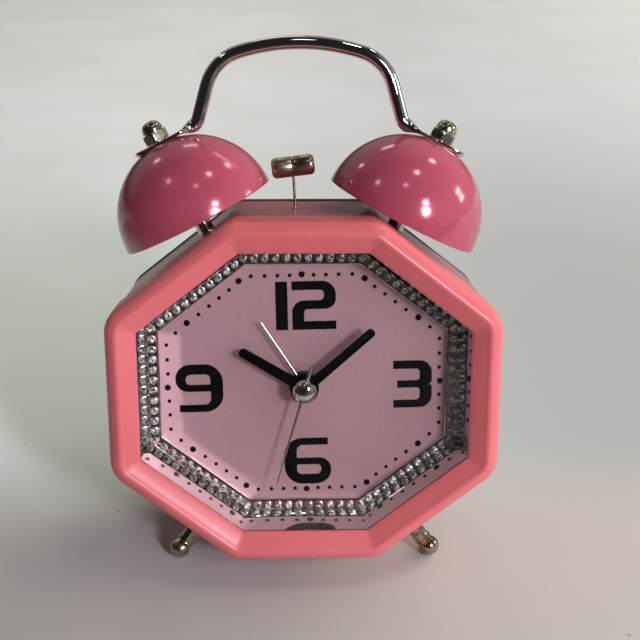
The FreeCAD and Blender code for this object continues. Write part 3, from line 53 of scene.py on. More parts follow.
# ----------
# Front moulding: one hollow octagonal ring of gloss coral plastic, injection moulded. Its face
# slopes in to a sharp lip that holds the pane, and its spigot is pushed into the case.
CLOCK_LEAN = math.radians(11.9162)
DIAL_CENTRE = Vector((0.0, -0.0143152, 0.0586014))
STAND_UP = (Matrix.Translation(DIAL_CENTRE) @ Matrix.Rotation(-CLOCK_LEAN, 4, "X")
            @ Matrix.Scale(0.001, 4))
TO_DIAL = STAND_UP.inverted()
LIP_HALF_W, LIP_HALF_H, LIP_HALF_D = 48.8, 42.6, 45.2
SLOPE = math.radians(37.75)
SIDE_ANGLES = [math.degrees(SLOPE), 90.0, 180.0 - math.degrees(SLOPE), 180.0]
SIDE_ANGLES += [a + 180.0 for a in SIDE_ANGLES]
LIP_Y, LENS_FRONT_Y, LENS_BACK_Y = -12.95, -12.5, -11.5
CROWN_Y, BEZEL_W, BEZEL_BACK_Y, BEZEL_WALL = -16.3, 9.0, 0.6, 1.6
FACE_END, CROWN_END, SPIGOT_OUT, SPIGOT_IN = 4.3, 6.35, 7.0, 5.8
BOSS_R, BOSS_L, BOSS_Y = 1.3, 14.6, -6.8
DOUBLES, SLIVERS = 0.0005, 0.0004


def octagon(outwards):
    """Corners of the lip's octagon moved outwards by some millimetres, clockwise from top right."""
    w, h, d = LIP_HALF_W + outwards, LIP_HALF_H + outwards, LIP_HALF_D + outwards
    top = (d - h * math.cos(SLOPE)) / math.sin(SLOPE)
    side = (d - w * math.sin(SLOPE)) / math.cos(SLOPE)
    half = [(top, h), (w, side), (w, -side), (top, -h)]
    return half + [(-x, z) for x, z in half[::-1]]


def rounded_octagon(outwards, y, steps=8):
    """Ring of points round the lip, whose corners are arcs about the lip's own corners."""
    ring = []
    for i, (x, z) in enumerate(octagon(0.0)):
        before, after = SIDE_ANGLES[i - 1], SIDE_ANGLES[i]
        turn = (after - before) % 360.0
        for k in range(steps + 1):
            a = math.radians(before + turn * k / steps)
            ring.append(Vector((x + outwards * math.sin(a), y, z + outwards * math.cos(a))))
    return ring


def skin(bm, a, b):
    """Faces between two rings of points of one mesh; a ring of one point is a pole."""
    for k in range(max(len(a), len(b))):
        n = k + 1
        corners = (a[k % len(a)], a[n % len(a)], b[n % len(b)], b[k % len(b)])
        bm.faces.new(list(dict.fromkeys(corners)))


def loft(rings, closed_section=False, caps=False, bm=None):
    """Mesh, new or added to, of the faces between rings that are each closed on themselves."""
    bm = bmesh.new() if bm is None else bm
    rows = [[bm.verts.new(p) for p in ring] for ring in rings]
    for a, b in zip(rows, rows[1:] + (rows[:1] if closed_section else [])):
        skin(bm, a, b)
    if caps:
        bm.faces.new(rows[0])
        bm.faces.new(rows[-1])
    return bm


def as_mesh(bm, name):
    mesh = bpy.data.meshes.new(name)
    bm.to_mesh(mesh)
    bm.free()
    return mesh


def cleaned(bm, name, crease=32.0, place=STAND_UP):
    """Merge doubles, face outwards, stand the piece up, and keep edges over the crease sharp."""
    bmesh.ops.remove_doubles(bm, verts=bm.verts, dist=DOUBLES)
    bmesh.ops.dissolve_degenerate(bm, edges=bm.edges, dist=SLIVERS)
    bmesh.ops.recalc_face_normals(bm, faces=bm.faces)
    mesh = as_mesh(bm, name)
    mesh.transform(place)
    mesh.shade_smooth()
    mesh.set_sharp_from_angle(angle=math.radians(crease))
    return mesh


def placed(name, data):
    """New object of the scene."""
    made = bpy.data.objects.new(name, data)
    bpy.context.scene.collection.objects.link(made)
    return made


def fitted(mesh, body, finish, node):
    """Hang a finished mesh on its body in place of the CAD node it stands for."""
    piece = placed(mesh.name, mesh)
    if not mesh.materials:
        mesh.materials.append(finish)
    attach(piece, body)
    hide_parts(node)


def eye(red, green, blue):
    """Colour as the eye reads it, 0 to 255, as the linear colour the shaders take."""
    levels = [level / 255.0 for level in (red, green, blue)]
    return (*(c / 12.92 if c <= 0.04045 else ((c + 0.055) / 1.055) ** 2.4 for c in levels), 1.0)


def add(tree, kind, inputs=None, **settings):
    """Node with its settings; an input is a value, or the socket or node that feeds it."""
    made = tree.nodes.new(kind if "Node" in kind else "ShaderNode" + kind)
    for key, value in settings.items():
        setattr(made, key, value)
    for key, value in (inputs or {}).items():
        if isinstance(value, bpy.types.Node):
            value = value.outputs[0]
        if isinstance(value, bpy.types.NodeSocket):
            tree.links.new(value, made.inputs[key])
        else:
            made.inputs[key].default_value = value
    return made


def maths(tree, operation, a, b=0.0):
    return add(tree, "Math", {0: a, 1: b}, operation=operation)


def times(tree, a, b):
    return maths(tree, "MULTIPLY", a, b)


def between(tree, value, low, high, to_low=0.0, to_high=1.0):
    """Smooth step of a value between two levels."""
    return add(tree, "MapRange", {"Value": value, "From Min": low, "From Max": high,
                                  "To Min": to_low, "To Max": to_high},
               interpolation_type="SMOOTHSTEP")


def mixed(tree, share, first, second):
    return add(tree, "Mix", {0: share, 6: first, 7: second}, data_type="RGBA").outputs[2]


def noise(tree, at, scale, detail, **more):
    return add(tree, "TexNoise", {"Vector": at, "Scale": scale, "Detail": detail, **more})


def specks(tree, at, scale, near, far, rare_from, rare_to):
    """Round specks, one in each of the few cells that chance picks."""
    grit = add(tree, "TexVoronoi", {"Vector": at, "Scale": scale})
    spot = between(tree, grit.outputs["Distance"], near, far, 1.0, 0.0)
    cell = add(tree, "SeparateColor", {0: grit.outputs["Color"]})
    return times(tree, spot, between(tree, cell, rare_from, rare_to))


def bumped(tree, height, strength, distance):
    return add(tree, "Bump", {"Height": height, "Strength": strength, "Distance": distance})


def new_finish(name):
    """Empty material, its tree and the place on the object."""
    made = bpy.data.materials.new(name)
    made.use_nodes = True
    made.node_tree.nodes.clear()
    return made, made.node_tree, add(made.node_tree, "TexCoord").outputs["Object"]


def coated(finish, **inputs):
    """End a finish in one Principled shader; an input's name has _ for each space."""
    tree = finish.node_tree
    given = {key.replace("_", " "): value for key, value in inputs.items()}
    add(tree, "OutputMaterial", {"Surface": add(tree, "BsdfPrincipled", given)})
    return finish


def node_group(name, kind, inputs, outputs):
    """Group of nodes with its sockets, and the outputs of its input node."""
    group = bpy.data.node_groups.new(name, kind)
    for way, sockets in (("INPUT", inputs), ("OUTPUT", outputs)):
        for label, value in sockets.items():
            group.interface.new_socket(label, in_out=way, socket_type="NodeSocket" + value)
    return group, add(group, "NodeGroupInput").outputs


def build_handling_marks():
    """Wiped smudges, hair scratches and settled dust that every handled surface carries."""
    group, given = node_group(
        "handling marks", "ShaderNodeTree",
        dict.fromkeys(("Scale", "Smudge", "Scratch", "Dust"), "Float"),
        dict.fromkeys(("Roughness", "Dust", "Height"), "Float"))
    at, scale = add(group, "TexCoord").outputs["Object"], given["Scale"]
    wiped = noise(group, at, scale, 4.0, Distortion=0.6)
    smudge = times(group, between(group, wiped, 0.42, 0.72), given["Smudge"])
    lines = noise(group, at, times(group, scale, 2.6), 1.0, Distortion=1.4)
    off_line = maths(group, "ABSOLUTE", maths(group, "SUBTRACT", lines, 0.5))
    hair = times(group, between(group, off_line, 0.0, 0.006, 1.0, 0.0),
                 between(group, wiped, 0.5, 0.62))
    hair = times(group, hair, given["Scratch"])
    grit = specks(group, at, times(group, scale, 11.0), 0.1, 0.2, 0.86, 0.9)
    dust = times(group, grit, given["Dust"])
    add(group, "NodeGroupOutput",
        {"Roughness": maths(group, "ADD", smudge, times(group, dust, 0.4)), "Dust": dust,
         "Height": maths(group, "SUBTRACT", dust, hair)})
    return group


handling_marks = build_handling_marks()


def marks_on(tree, scale, smudge, scratch, dust):
    """The handling marks' roughness, dust and height."""
    return add(tree, "ShaderNodeGroup", {"Scale": scale, "Smudge": smudge, "Scratch": scratch,
                                         "Dust": dust}, node_tree=handling_marks).outputs[:3]


def gloss_pink(name, light, deep, roughness, coat, marks=(45.0, 0.05, 0.25, 0.4), metallic=0.0,
               cloud=14.0, specular=0.5):
    """Gloss pink moulding or enamel: two near shades in soft clouds, dust and hair scratches."""
    finish, tree, at = new_finish(name)
    rough, dust, height = marks_on(tree, *marks)
    clouds = between(tree, noise(tree, at, cloud, 3.0), 0.35, 0.65)
    colour = mixed(tree, times(tree, dust, 0.35), mixed(tree, clouds, deep, light),
                   eye(214, 196, 190))
    height = maths(tree, "ADD", times(tree, height, 0.5), noise(tree, at, 420.0, 1.0))
    return coated(finish, Base_Color=colour, Metallic=metallic, IOR=1.5,
                  Roughness=maths(tree, "ADD", rough, roughness), Specular_IOR_Level=specular,
                  Coat_Weight=coat, Coat_Roughness=0.04,
                  Normal=bumped(tree, height, 0.05, 0.0004))


def arc_points(start, via, end, steps):
    """Points on the circle through three points, after the start and up to the end."""
    (ax, ay), (bx, by), (cx, cy) = start, via, end
    a2, b2, c2 = (x * x + y * y for x, y in (start, via, end))
    d = 2 * (ax * (by - cy) + bx * (cy - ay) + cx * (ay - by))
    ux = (a2 * (by - cy) + b2 * (cy - ay) + c2 * (ay - by)) / d
    uy = (a2 * (cx - bx) + b2 * (ax - cx) + c2 * (bx - ax)) / d
    r = math.hypot(ax - ux, ay - uy)
    first, middle, last = (math.atan2(y - uy, x - ux) for x, y in (start, via, end))
    sweep = (last - first) % math.tau
    if (middle - first) % math.tau >= sweep:
        sweep -= math.tau
    return [(ux + r * math.cos(first + sweep * k / steps),
             uy + r * math.sin(first + sweep * k / steps)) for k in range(1, steps + 1)]


def moulding_section():
    """Closed section of the moulding, as (outwards from the lip, depth)."""
    inner, seat, rib = BEZEL_W - BEZEL_WALL, 2.2, 3.6
    ridge, shoulder, face = CROWN_Y + 0.05, CROWN_Y + 0.35, CROWN_Y + 0.53
    section = [(0.0, LIP_Y + 0.02), (0.06, LIP_Y - 0.07)]
    section += [(FACE_END * k / 5, LIP_Y - 0.04 + (face - LIP_Y + 0.04) * k / 5
                 - 0.10 * math.sin(math.pi * k / 5)) for k in range(1, 6)]
    section += arc_points((FACE_END, face), (5.35, ridge), (CROWN_END, shoulder), 8)
    section += arc_points((CROWN_END, shoulder), (8.15, CROWN_Y + 1.75),
                          (BEZEL_W - 0.02, CROWN_Y + 4.2), 12)
    return section + [
        (BEZEL_W, CROWN_Y + 5.2), (BEZEL_W, BEZEL_BACK_Y - 0.2), (BEZEL_W - 0.2, BEZEL_BACK_Y),
        (SPIGOT_OUT, BEZEL_BACK_Y), (SPIGOT_OUT, 4.5), (SPIGOT_OUT - 0.1, 4.6), (SPIGOT_IN, 4.6),
        (SPIGOT_IN, -0.6), (inner, -0.6), (inner, CROWN_Y + 3.9), (5.4, CROWN_Y + 1.7),
        (rib, CROWN_Y + 2.6), (rib, -10.9), (seat, -10.9), (seat, LENS_FRONT_Y),
        (0.0, LENS_FRONT_Y)]


def screw_bosses(bm):
    """Round posts inside the moulding's slopes, for the screws that hold the inner frame."""
    reach = LIP_HALF_D + 4.5
    for sx in (-1, 1):
        for sz in (-1, 1):
            x, z = sx * reach * math.sin(SLOPE), sz * reach * math.cos(SLOPE)
            at = Matrix.Translation((x, BOSS_Y, z)) @ Matrix.Rotation(math.radians(90), 4, "X")
            bmesh.ops.create_cone(bm, cap_ends=True, segments=20, radius1=BOSS_R, radius2=BOSS_R,
                                  depth=BOSS_L, matrix=at)


bezel_mesh = loft([rounded_octagon(o, y, 10) for o, y in moulding_section()], closed_section=True)
screw_bosses(bezel_mesh)
coral_plastic = gloss_pink("coral moulding", eye(228, 116, 122), eye(218, 105, 111), 0.33, 0.06)
fitted(cleaned(bezel_mesh, "front_moulding", 24.0), "clock_body", coral_plastic,
       "front_bezel")


# ----------
# Pane: flat clear polystyrene, die cut, held against the back of the lip by the reflector.
# It carries wiped smears, dust and fine scratches.
def clear_pane_finish():
    """Glass that lets lamps and bounced light through unbent."""
    finish, tree, _ = new_finish("clear pane")
    height = marks_on(tree, 30.0, 0.06, 0.8, 0.5)[2]
    glass = add(tree, "BsdfPrincipled",
                {"Base Color": (1.0, 1.0, 1.0, 1.0), "Transmission Weight": 1.0, "IOR": 1.46,
                 "Roughness": 0.0, "Normal": bumped(tree, height, 0.04, 0.0003)})
    through = add(tree, "BsdfTransparent", {"Color": (0.97, 0.97, 0.97, 1.0)})
    ray = add(tree, "LightPath").outputs
    open_ray = maths(tree, "MAXIMUM", ray["Is Shadow Ray"], ray["Is Diffuse Ray"])
    surface = add(tree, "MixShader", {0: open_ray, 1: glass, 2: through})
    add(tree, "OutputMaterial", {"Surface": surface})
    return finish


def refinish(finish, *nodes):
    """Give CAD pieces whose shape is right their finish."""
    for node in nodes:
        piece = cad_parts[node]
        if not piece.material_slots:
            piece.data.materials.append(finish)
        for held in piece.material_slots:
            held.material = finish


refinish(clear_pane_finish(), "front_lens")


# ----------
# Reflector: vacuum plated plastic ring, a flared mirror wall and a flat flange with a thin bead.
# It is clamped between the pane and the dial.
def plated(name, colour, roughness, marks=(60.0, 0.06, 0.4, 0.4), tarnish=None,
           tarnish_share=0.0, spot_scale=160.0, relief=0.03):
    """Polished or plated metal with smudges, hair scratches and, where given, tarnish."""
    finish, tree, at = new_finish(name)
    rough, dust, height = marks_on(tree, *marks)
    rough = maths(tree, "ADD", rough, roughness)
    tone = mixed(tree, times(tree, dust, 0.4), colour, eye(150, 140, 132))
    if tarnish is not None:
        spots = between(tree, noise(tree, at, spot_scale, 6.0, Roughness=0.65), 0.48, 0.66)
        stained = times(tree, spots, tarnish_share)
        tone = mixed(tree, stained, tone, tarnish)
        rough = maths(tree, "ADD", rough, times(tree, stained, 0.25))
    return coated(finish, Base_Color=tone, Metallic=1.0, Roughness=rough,
                  Normal=bumped(tree, height, relief, 0.0003))


BEAD_MIDDLE, BEAD_HALF_W, BEAD_RISE, FLANGE_FACE_Y = -5.02, 0.46, 0.42, -1.0
FOOT_SHIFT = Vector((-0.35, 0.0, 0.2))


def sunk(ring):
    """Slide a ring of the reflector sideways, the more the nearer it lies to the dial."""
    return [p + FOOT_SHIFT * (p.y - LENS_BACK_Y) / -LENS_BACK_Y for p in ring]


def reflector_section():
    """Closed section as (outwards from the lip, depth): wall, flange, half round bead, fillet."""
    fillet_start = (-2.48, FLANGE_FACE_Y)
    return ([(0.1, LENS_BACK_Y), (1.0, LENS_BACK_Y), (-1.0, 0.0), (BEAD_MIDDLE - BEAD_HALF_W, 0.0)]
            + [(BEAD_MIDDLE - BEAD_HALF_W * math.cos(math.pi * k / 8),
                FLANGE_FACE_Y - BEAD_RISE * math.sin(math.pi * k / 8)) for k in range(9)]
            + [fillet_start] + arc_points(fillet_start, (-2.033, -1.16), (-1.792, -1.57), 5)
            + [(-1.739, -1.85)])


reflector_rings = [sunk(rounded_octagon(o, y, 1) if o >= 0.0 else
                        [Vector((x, y, z)) for x, z in octagon(o) for _ in range(2)])
                   for o, y in reflector_section()]
fitted(cleaned(loft(reflector_rings, closed_section=True), "mirror_ring", 20.0), "clock_body",
       plated("plated mirror", eye(226, 222, 220), 0.02, (40.0, 0.03, 0.2, 0.25)),
       "reflector_ring")


# ----------
# Stones: 88 round faceted stones, foil backed, each pressed into a small square plated cup.
# They stand in one row on the reflector's flange, eleven to a side.
STONE_ROW, STONE_D, STONE_H = -3.42, 2.4, 0.95


def stone_in_cup():
    """One stone and its cup, one unit wide and one high; the stone's faces are marked."""
    bm = bmesh.new()
    marked = bm.faces.layers.bool.new("stone")

    def ring(radius, height, turn=0.0, square=False):
        points = []
        for k in range(8):
            a = math.tau * (k + turn) / 8
            r = radius / max(abs(math.cos(a)), abs(math.sin(a))) ** 0.75 if square else radius
            points.append(bm.verts.new((r * math.cos(a), r * math.sin(a), height)))
        return points

    cup = [ring(r, h, 0.5, True) for r, h in ((0.46, 0.0), (0.46, 0.62), (0.42, 0.66), (0.4, 0.5))]
    bm.faces.new(cup[0][::-1])
    for a, b in zip(cup, cup[1:]):
        skin(bm, a, b)
    bm.faces.new(cup[-1])
    girdle, crown, table = ring(0.43, 0.58), ring(0.34, 0.84, 0.5), ring(0.24, 1.0)
    deep = bm.verts.new((0.0, 0.0, 0.72))
    facets = [girdle[::-1]]
    for k in range(8):
        n = (k + 1) % 8
        facets += [(girdle[k], girdle[n], crown[k]), (crown[k], girdle[n], crown[n]),
                   (crown[k], crown[n], table[n]), (table[k], crown[k], table[n]),
                   (table[k], table[n], deep)]
    for corners in facets:
        bm.faces.new(corners)[marked] = True
    bmesh.ops.recalc_face_normals(bm, faces=bm.faces)
    return placed("stone_in_cup", as_mesh(bm, "stone_in_cup"))


def stone_row_tree(cup_finish, stone_finish):
    """Nodes that set one stone at each place of a row that runs round the octagon."""
    tree, given = node_group(
        "stone row", "GeometryNodeTree",
        {"Geometry": "Geometry", "Stone": "Object", "Stones per side": "Int", "Diameter": "Float",
         "Height": "Float", "Unevenness": "Float", "Seed": "Int"}, {"Geometry": "Geometry"})
    row = add(tree, "GeometryNodeMeshToCurve", {0: given["Geometry"]})
    cuts = maths(tree, "SUBTRACT", given["Stones per side"], 1.0)
    places = add(tree, "GeometryNodeSubdivideCurve", {"Curve": row, "Cuts": cuts})
    stone = add(tree, "GeometryNodeObjectInfo", {"Object": given["Stone"]}).outputs["Geometry"]
    outward = add(tree, "FunctionNodeInputVector", vector=(0.0, -1.0, 0.0))
    facing = add(tree, "FunctionNodeAxesToRotation",
                 {"Primary Axis": outward,
                  "Secondary Axis": add(tree, "GeometryNodeInputTangent")},
                 primary_axis="Z", secondary_axis="X")
    more = given["Unevenness"]
    less = times(tree, more, -1.0)
    low, high = (add(tree, "CombineXYZ", {0: reach, 1: reach, 2: reach}) for reach in (less, more))
    tilt = add(tree, "FunctionNodeRandomValue", {0: low, 1: high, "Seed": given["Seed"]},
               data_type="FLOAT_VECTOR")
    uneven = add(tree, "FunctionNodeEulerToRotation", {0: tilt})
    turned_to = add(tree, "FunctionNodeRotateRotation", {0: facing, 1: uneven},
                    rotation_space="LOCAL")
    size = add(tree, "CombineXYZ", {0: given["Diameter"], 1: given["Diameter"],
                                    2: given["Height"]})
    stones = add(tree, "GeometryNodeInstanceOnPoints",
                 {"Points": places, "Instance": stone, "Rotation": turned_to, "Scale": size})
    real = add(tree, "GeometryNodeRealizeInstances", {0: stones})
    cups = add(tree, "GeometryNodeSetMaterial", {"Geometry": real, "Material": cup_finish})
    is_stone = add(tree, "GeometryNodeInputNamedAttribute", {"Name": "stone"}, data_type="BOOLEAN")
    both = add(tree, "GeometryNodeSetMaterial",
               {"Geometry": cups, "Selection": is_stone, "Material": stone_finish})
    add(tree, "NodeGroupOutput", {0: both})
    return tree


def baked(holder, name):
    """Plain mesh of an object with its modifiers run; the object is dropped."""
    bpy.context.view_layer.update()
    graph = bpy.context.evaluated_depsgraph_get()
    mesh = bpy.data.meshes.new_from_object(holder.evaluated_get(graph), depsgraph=graph)
    mesh.name = name
    bpy.data.objects.remove(holder)
    return mesh


def stone_row(outline, tree, values):
    """Mesh of the whole row: the nodes run on its outline."""
    holder = placed("stone_row", outline)
    modifier = holder.modifiers.new(tree.name, "NODES")
    modifier.node_group = tree
    for socket in tree.interface.items_tree:
        if socket.name in values:
            modifier[socket.identifier] = values[socket.name]
    return baked(holder, "stones_in_cups")


def crystal_finish():
    """Foil backed stone: the facets mirror, with a little of the clear body's own tint, and random
    bright and dark cells on them as painted glints.
    """
    finish, tree, at = new_finish("foil backed stone")
    # Painted glints: random cells of the facets made bright or dark.
    painted_sparkle = add(tree, "TexVoronoi", {"Vector": at, "Scale": 1500.0}).outputs["Color"]
    level = between(tree, add(tree, "SeparateColor", {0: painted_sparkle}), 0.25, 0.75)
    return coated(finish, Base_Color=mixed(tree, level, eye(96, 92, 86), eye(240, 238, 230)),
                  Metallic=0.6, Roughness=0.2, Coat_Weight=1.0, Coat_Roughness=0.02,
                  Coat_IOR=1.55)


row_outline = bpy.data.meshes.new("stone_row_outline")
row_outline.from_pydata(sunk([Vector((x, FLANGE_FACE_Y, z)) for x, z in octagon(STONE_ROW)]),
                        [(k, (k + 1) % 8) for k in range(8)], [])
stone_template = stone_in_cup()
cup_metal = plated("plated cup", eye(206, 204, 198), 0.28, (90.0, 0.1, 0.3, 0.3))
stones_mesh = stone_row(row_outline, stone_row_tree(cup_metal, crystal_finish()),
                        {"Stone": stone_template, "Stones per side": 11, "Diameter": STONE_D,
                         "Height": STONE_H, "Unevenness": 0.035, "Seed": 7})
bpy.data.objects.remove(stone_template)
stones_mesh.transform(STAND_UP)
fitted(stones_mesh, "clock_body", cup_metal, "crystal_studs")


# ----------
# Dial: thin sheet with a pearly lilac pink coat, and numerals and sixty dots screen printed in
# satin black. The sheet has fine specks and a faint upright grain.
LARGEST_DOT, INK_SPREAD = 2.5, 0.12


def dial_sheet_finish():
    finish, tree, at = new_finish("pearly dial sheet")
    grain_at = add(tree, "Mapping", {"Vector": at, "Scale": (1.0, 1.0, 0.6)})
    grain = noise(tree, grain_at, 1400.0, 3.0, Roughness=0.7)
    colour = mixed(tree, between(tree, grain, 0.3, 0.7), eye(172, 134, 137), eye(180, 141, 145))
    clouds = between(tree, noise(tree, at, 45.0, 3.0), 0.3, 0.75, 0.0, 0.3)
    colour = mixed(tree, clouds, colour, eye(174, 138, 150))
    rough, dust, _ = marks_on(tree, 52.0, 0.05, 0.0, 0.9)
    colour = mixed(tree, times(tree, dust, 0.35), colour, eye(96, 78, 86))
    return coated(finish, Base_Color=colour, Metallic=0.2,
                  Roughness=maths(tree, "ADD", rough, 0.42),
                  Normal=bumped(tree, grain, 0.05, 0.0001))


def black_finish(name, colour, roughness, marks, grain_scale, relief, gloss):
    """Black print or paint with a fine surface grain."""
    finish, tree, at = new_finish(name)
    rough, dust, height = marks_on(tree, *marks)
    height = maths(tree, "ADD", noise(tree, at, grain_scale, 2.0), height)
    tone = mixed(tree, times(tree, dust, 0.3), colour, eye(120, 112, 110))
    return coated(finish, Base_Color=tone, IOR=1.48, Specular_IOR_Level=gloss,
                  Roughness=maths(tree, "ADD", rough, roughness),
                  Normal=bumped(tree, height, relief, 0.0002))


def cad_copy(node):
    """A CAD piece's mesh to work on, its doubled points merged."""
    bm = bmesh.new()
    bm.from_mesh(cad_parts[node].data)
    bmesh.ops.remove_doubles(bm, verts=bm.verts, dist=2e-6)
    return bm


def islands(bm):
    """The mesh's separate sets of joined points."""
    left = set(bm.verts)
    while left:
        edge = [left.pop()]
        island = []
        while edge:
            island.append(edge.pop())
            fresh = {link.other_vert(island[-1]) for link in island[-1].link_edges} & left
            left -= fresh
            edge += fresh
        yield island


def fuller_dots(node, name):
    """Copy of the CAD print whose dots are wider by one amount all round; the numerals stay."""
    bm = cad_copy(node)
    for island in islands(bm):
        flat = [TO_DIAL @ vertex.co for vertex in island]
        (left, right), (low, high) = ((min(row), max(row)) for row in
                                      ([p.x for p in flat], [p.z for p in flat]))
        if max(right - left, high - low) > LARGEST_DOT:
            continue
        for vertex, place in zip(island, flat):
            outwards = Vector((place.x - (left + right) / 2, 0.0, place.z - (low + high) / 2))
            if outwards.length > 1e-4:
                vertex.co = STAND_UP @ (place + outwards.normalized() * INK_SPREAD)
    return as_mesh(bm, name)


refinish(dial_sheet_finish(), "dial_plate")
ink = black_finish("screen printed ink", eye(5, 4, 5), 0.4, (70.0, 0.05, 0.0, 0.3), 1500.0, 0.1,
                   0.08)
fitted(fuller_dots("dial_print", "numerals_and_dots"), "clock_body", ink,
       "dial_print")


# ----------
# Hands: stamped sheet, pushed on to the nested arbors. The hour and minute hands are painted
# black, the alarm hand is a bright needle, and the second hand sits under a turned ball cap.
EDGE_FROM, CREASE_FROM, FLAT_WITHIN = math.radians(35.0), math.radians(38.0), math.radians(0.6)


def softened(node, name, edge):
    """Copy of a CAD piece with its flats whole and its edges rounded by some millimetres."""
    bm = cad_copy(node)
    bmesh.ops.dissolve_limit(bm, angle_limit=FLAT_WITHIN, verts=bm.verts, edges=bm.edges)
    bmesh.ops.recalc_face_normals(bm, faces=bm.faces)
    flat = as_mesh(bm, name + "_flat")
    if "custom_normal" in flat.attributes:
        flat.attributes.remove(flat.attributes["custom_normal"])
    holder = placed(name + "_flat", flat)
    bevel = holder.modifiers.new("edge", "BEVEL")
    bevel.width, bevel.segments = edge * 0.001, 2
    bevel.limit_method, bevel.angle_limit = "ANGLE", EDGE_FROM
    mesh = baked(holder, name)
    mesh.materials.clear()
    mesh.shade_smooth()
    mesh.set_sharp_from_angle(angle=CREASE_FROM)
    return mesh


black_paint = black_finish("black hand paint", eye(5, 4, 5), 0.3, (80.0, 0.06, 0.2, 0.3), 1200.0,
                           0.05, 0.05)
for hand in ("hour", "minute"):
    fitted(softened(hand + "_hand", hand + "_bar", 0.14), hand + "_indicator", black_paint,
           hand + "_hand")


def circle(radius, height, steps):
    """Ring about the Z axis."""
    return [(radius * math.cos(math.tau * k / steps), radius * math.sin(math.tau * k / steps),
             height) for k in range(steps)]


def needle(name, node, angle, bars, section, bore, rim):
    """Bars of changing width set end to end through a washer; their depth is the CAD piece's."""
    depths = [(TO_DIAL @ vertex.co).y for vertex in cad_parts[node].data.vertices]
    front, back = min(depths), max(depths)
    bm = bmesh.new()
    for bar in bars:
        loft([[(u * width, back + (front - back) * t, along) for u, t in section]
              for along, width in bar], caps=True, bm=bm)
    bmesh.ops.transform(bm, matrix=Matrix.Rotation(math.radians(angle), 4, "Y"), verts=bm.verts)
    washer = ((bore, back), (rim, back), (rim, front + 0.04), (rim - 0.04, front), (bore, front))
    loft([[(x, y, z) for x, z, y in circle(r, depth, 48)] for r, depth in washer],
         closed_section=True, bm=bm)
    return cleaned(bm, name, 12.0)


FOLDED = [(-0.5, 0.0), (-0.5, 0.1), (0.15, 1.0), (0.5, 0.66), (0.5, 0.0)]
ROUNDED = [(-0.5, 0.0), (-0.47, 0.5), (-0.3, 0.85), (0.0, 1.0), (0.3, 0.85), (0.47, 0.5),
           (0.5, 0.0)]
alarm_bar = [(2.2, 0.74), (23.4, 0.74), (23.9, 0.45)]
fitted(needle("alarm_needle", "alarm_hand", -33.0, [alarm_bar], FOLDED, 1.9, 2.9),
       "alarm_indicator", plated("bright needle", eye(150, 146, 143), 0.24, (120.0, 0.1, 0.5, 0.2)),
       "alarm_hand")
second_bars = [[(1.0, 0.85), (30.4, 0.36), (30.95, 0.2)],
               [(-6.9, 0.4), (-6.83, 0.7), (-6.65, 0.94), (-6.35, 1.08), (-1.0, 1.08)]]
fitted(needle("second_needle", "second_hand", -164.1, second_bars, ROUNDED, 0.72, 1.58),
       "seconds_indicator",
       plated("darkened needle", eye(150, 142, 139), 0.32, (120.0, 0.1, 0.3, 0.2)),
       "second_hand")


def turned(profile, steps=64):
    """Turned piece about its Z axis from (radius, height) points; a point on it is a pole."""
    return loft([circle(r, height, 1 if r < 1e-6 else steps) for r, height in profile])


def dome_profile(radius, steps, start=0.0, end=90.0):
    """Arc from the equator to the pole, or between two angles, as (radius, height)."""
    turns = [math.radians(start + (end - start) * k / steps) for k in range(steps + 1)]
    return [(max(radius * math.cos(a), 0.0), radius * math.sin(a)) for a in turns]


CAP_R, CAP_FOOT_Y, CAP_FLATNESS = 3.6, -7.1, 0.66
TO_VIEWER = Matrix.Rotation(math.radians(90), 4, "X")
cap_profile = [(0.0, 0.0), (CAP_R - 0.25, 0.0), (CAP_R, 0.12)]
cap_profile += [(r, 0.5 + CAP_FLATNESS * h) for r, h in dome_profile(CAP_R, 24)]
cap_place = STAND_UP @ Matrix.Translation((0, CAP_FOOT_Y, 0)) @ TO_VIEWER
fitted(cleaned(turned(cap_profile), "ball_cap", 40.0, cap_place), "seconds_indicator",
       plated("polished cap", eye(226, 222, 216), 0.03, (150.0, 0.05, 0.5, 0.5)),
       "center_cap")


# ----------
# Case: pressed steel tube of eight sides, stove enamelled in a deep glossy pink. The moulding's
# spigot fills its front end, and the bell posts and the hammer wire pass through its top.
case_enamel = gloss_pink("case enamel", eye(182, 100, 114), eye(172, 90, 104), 0.2, 0.0,
                         (38.0, 0.05, 0.3, 0.1), 0.12, 10.0, 0.1)
refinish(case_enamel, "case_shell")


# ----------
# Bells: two domes spun from thin steel and enamelled gloss rose inside and out. Each hangs on a
# threaded stud that stands square to the case's slope, between a sleeve and the handle's lug.
BELL_R, BELL_T, BELL_BAND, BELL_CROWN, STUD_HOLE = 24.75, 0.9, 0.6, 24.2, 2.1
BELL_TILT = math.radians(26.9)
BELL_X, BELL_Y, BELL_Z, TOP_SHIFT = 31.9, 20.0, 49.2, -0.9
SIDES = {"left": -1, "right": 1}


def on_bell(side):
    """Place of a piece drawn up the bell's own axis."""
    sign = SIDES[side]
    return (STAND_UP @ Matrix.Translation((sign * BELL_X + TOP_SHIFT, BELL_Y, BELL_Z))
            @ Matrix.Rotation(sign * BELL_TILT, 4, "Y"))


def bell_profile():
    inner = BELL_R - BELL_T
    outer_end, inner_end = (math.degrees(math.asin(ratio)) for ratio in
                            (BELL_CROWN / BELL_R, (BELL_CROWN - BELL_T) / inner))
    rim = [(inner, -BELL_BAND + 0.15), (inner + 0.15, -BELL_BAND), (BELL_R - 0.2, -BELL_BAND),
           (BELL_R - 0.05, -BELL_BAND + 0.07), (BELL_R, -BELL_BAND + 0.22)]
    crown = [(4.6, BELL_CROWN), (STUD_HOLE, BELL_CROWN), (STUD_HOLE, BELL_CROWN - BELL_T)]
    return (rim + dome_profile(BELL_R, 44, 0.0, outer_end) + crown
            + dome_profile(inner, 36, 0.0, inner_end)[::-1] + rim[:1])


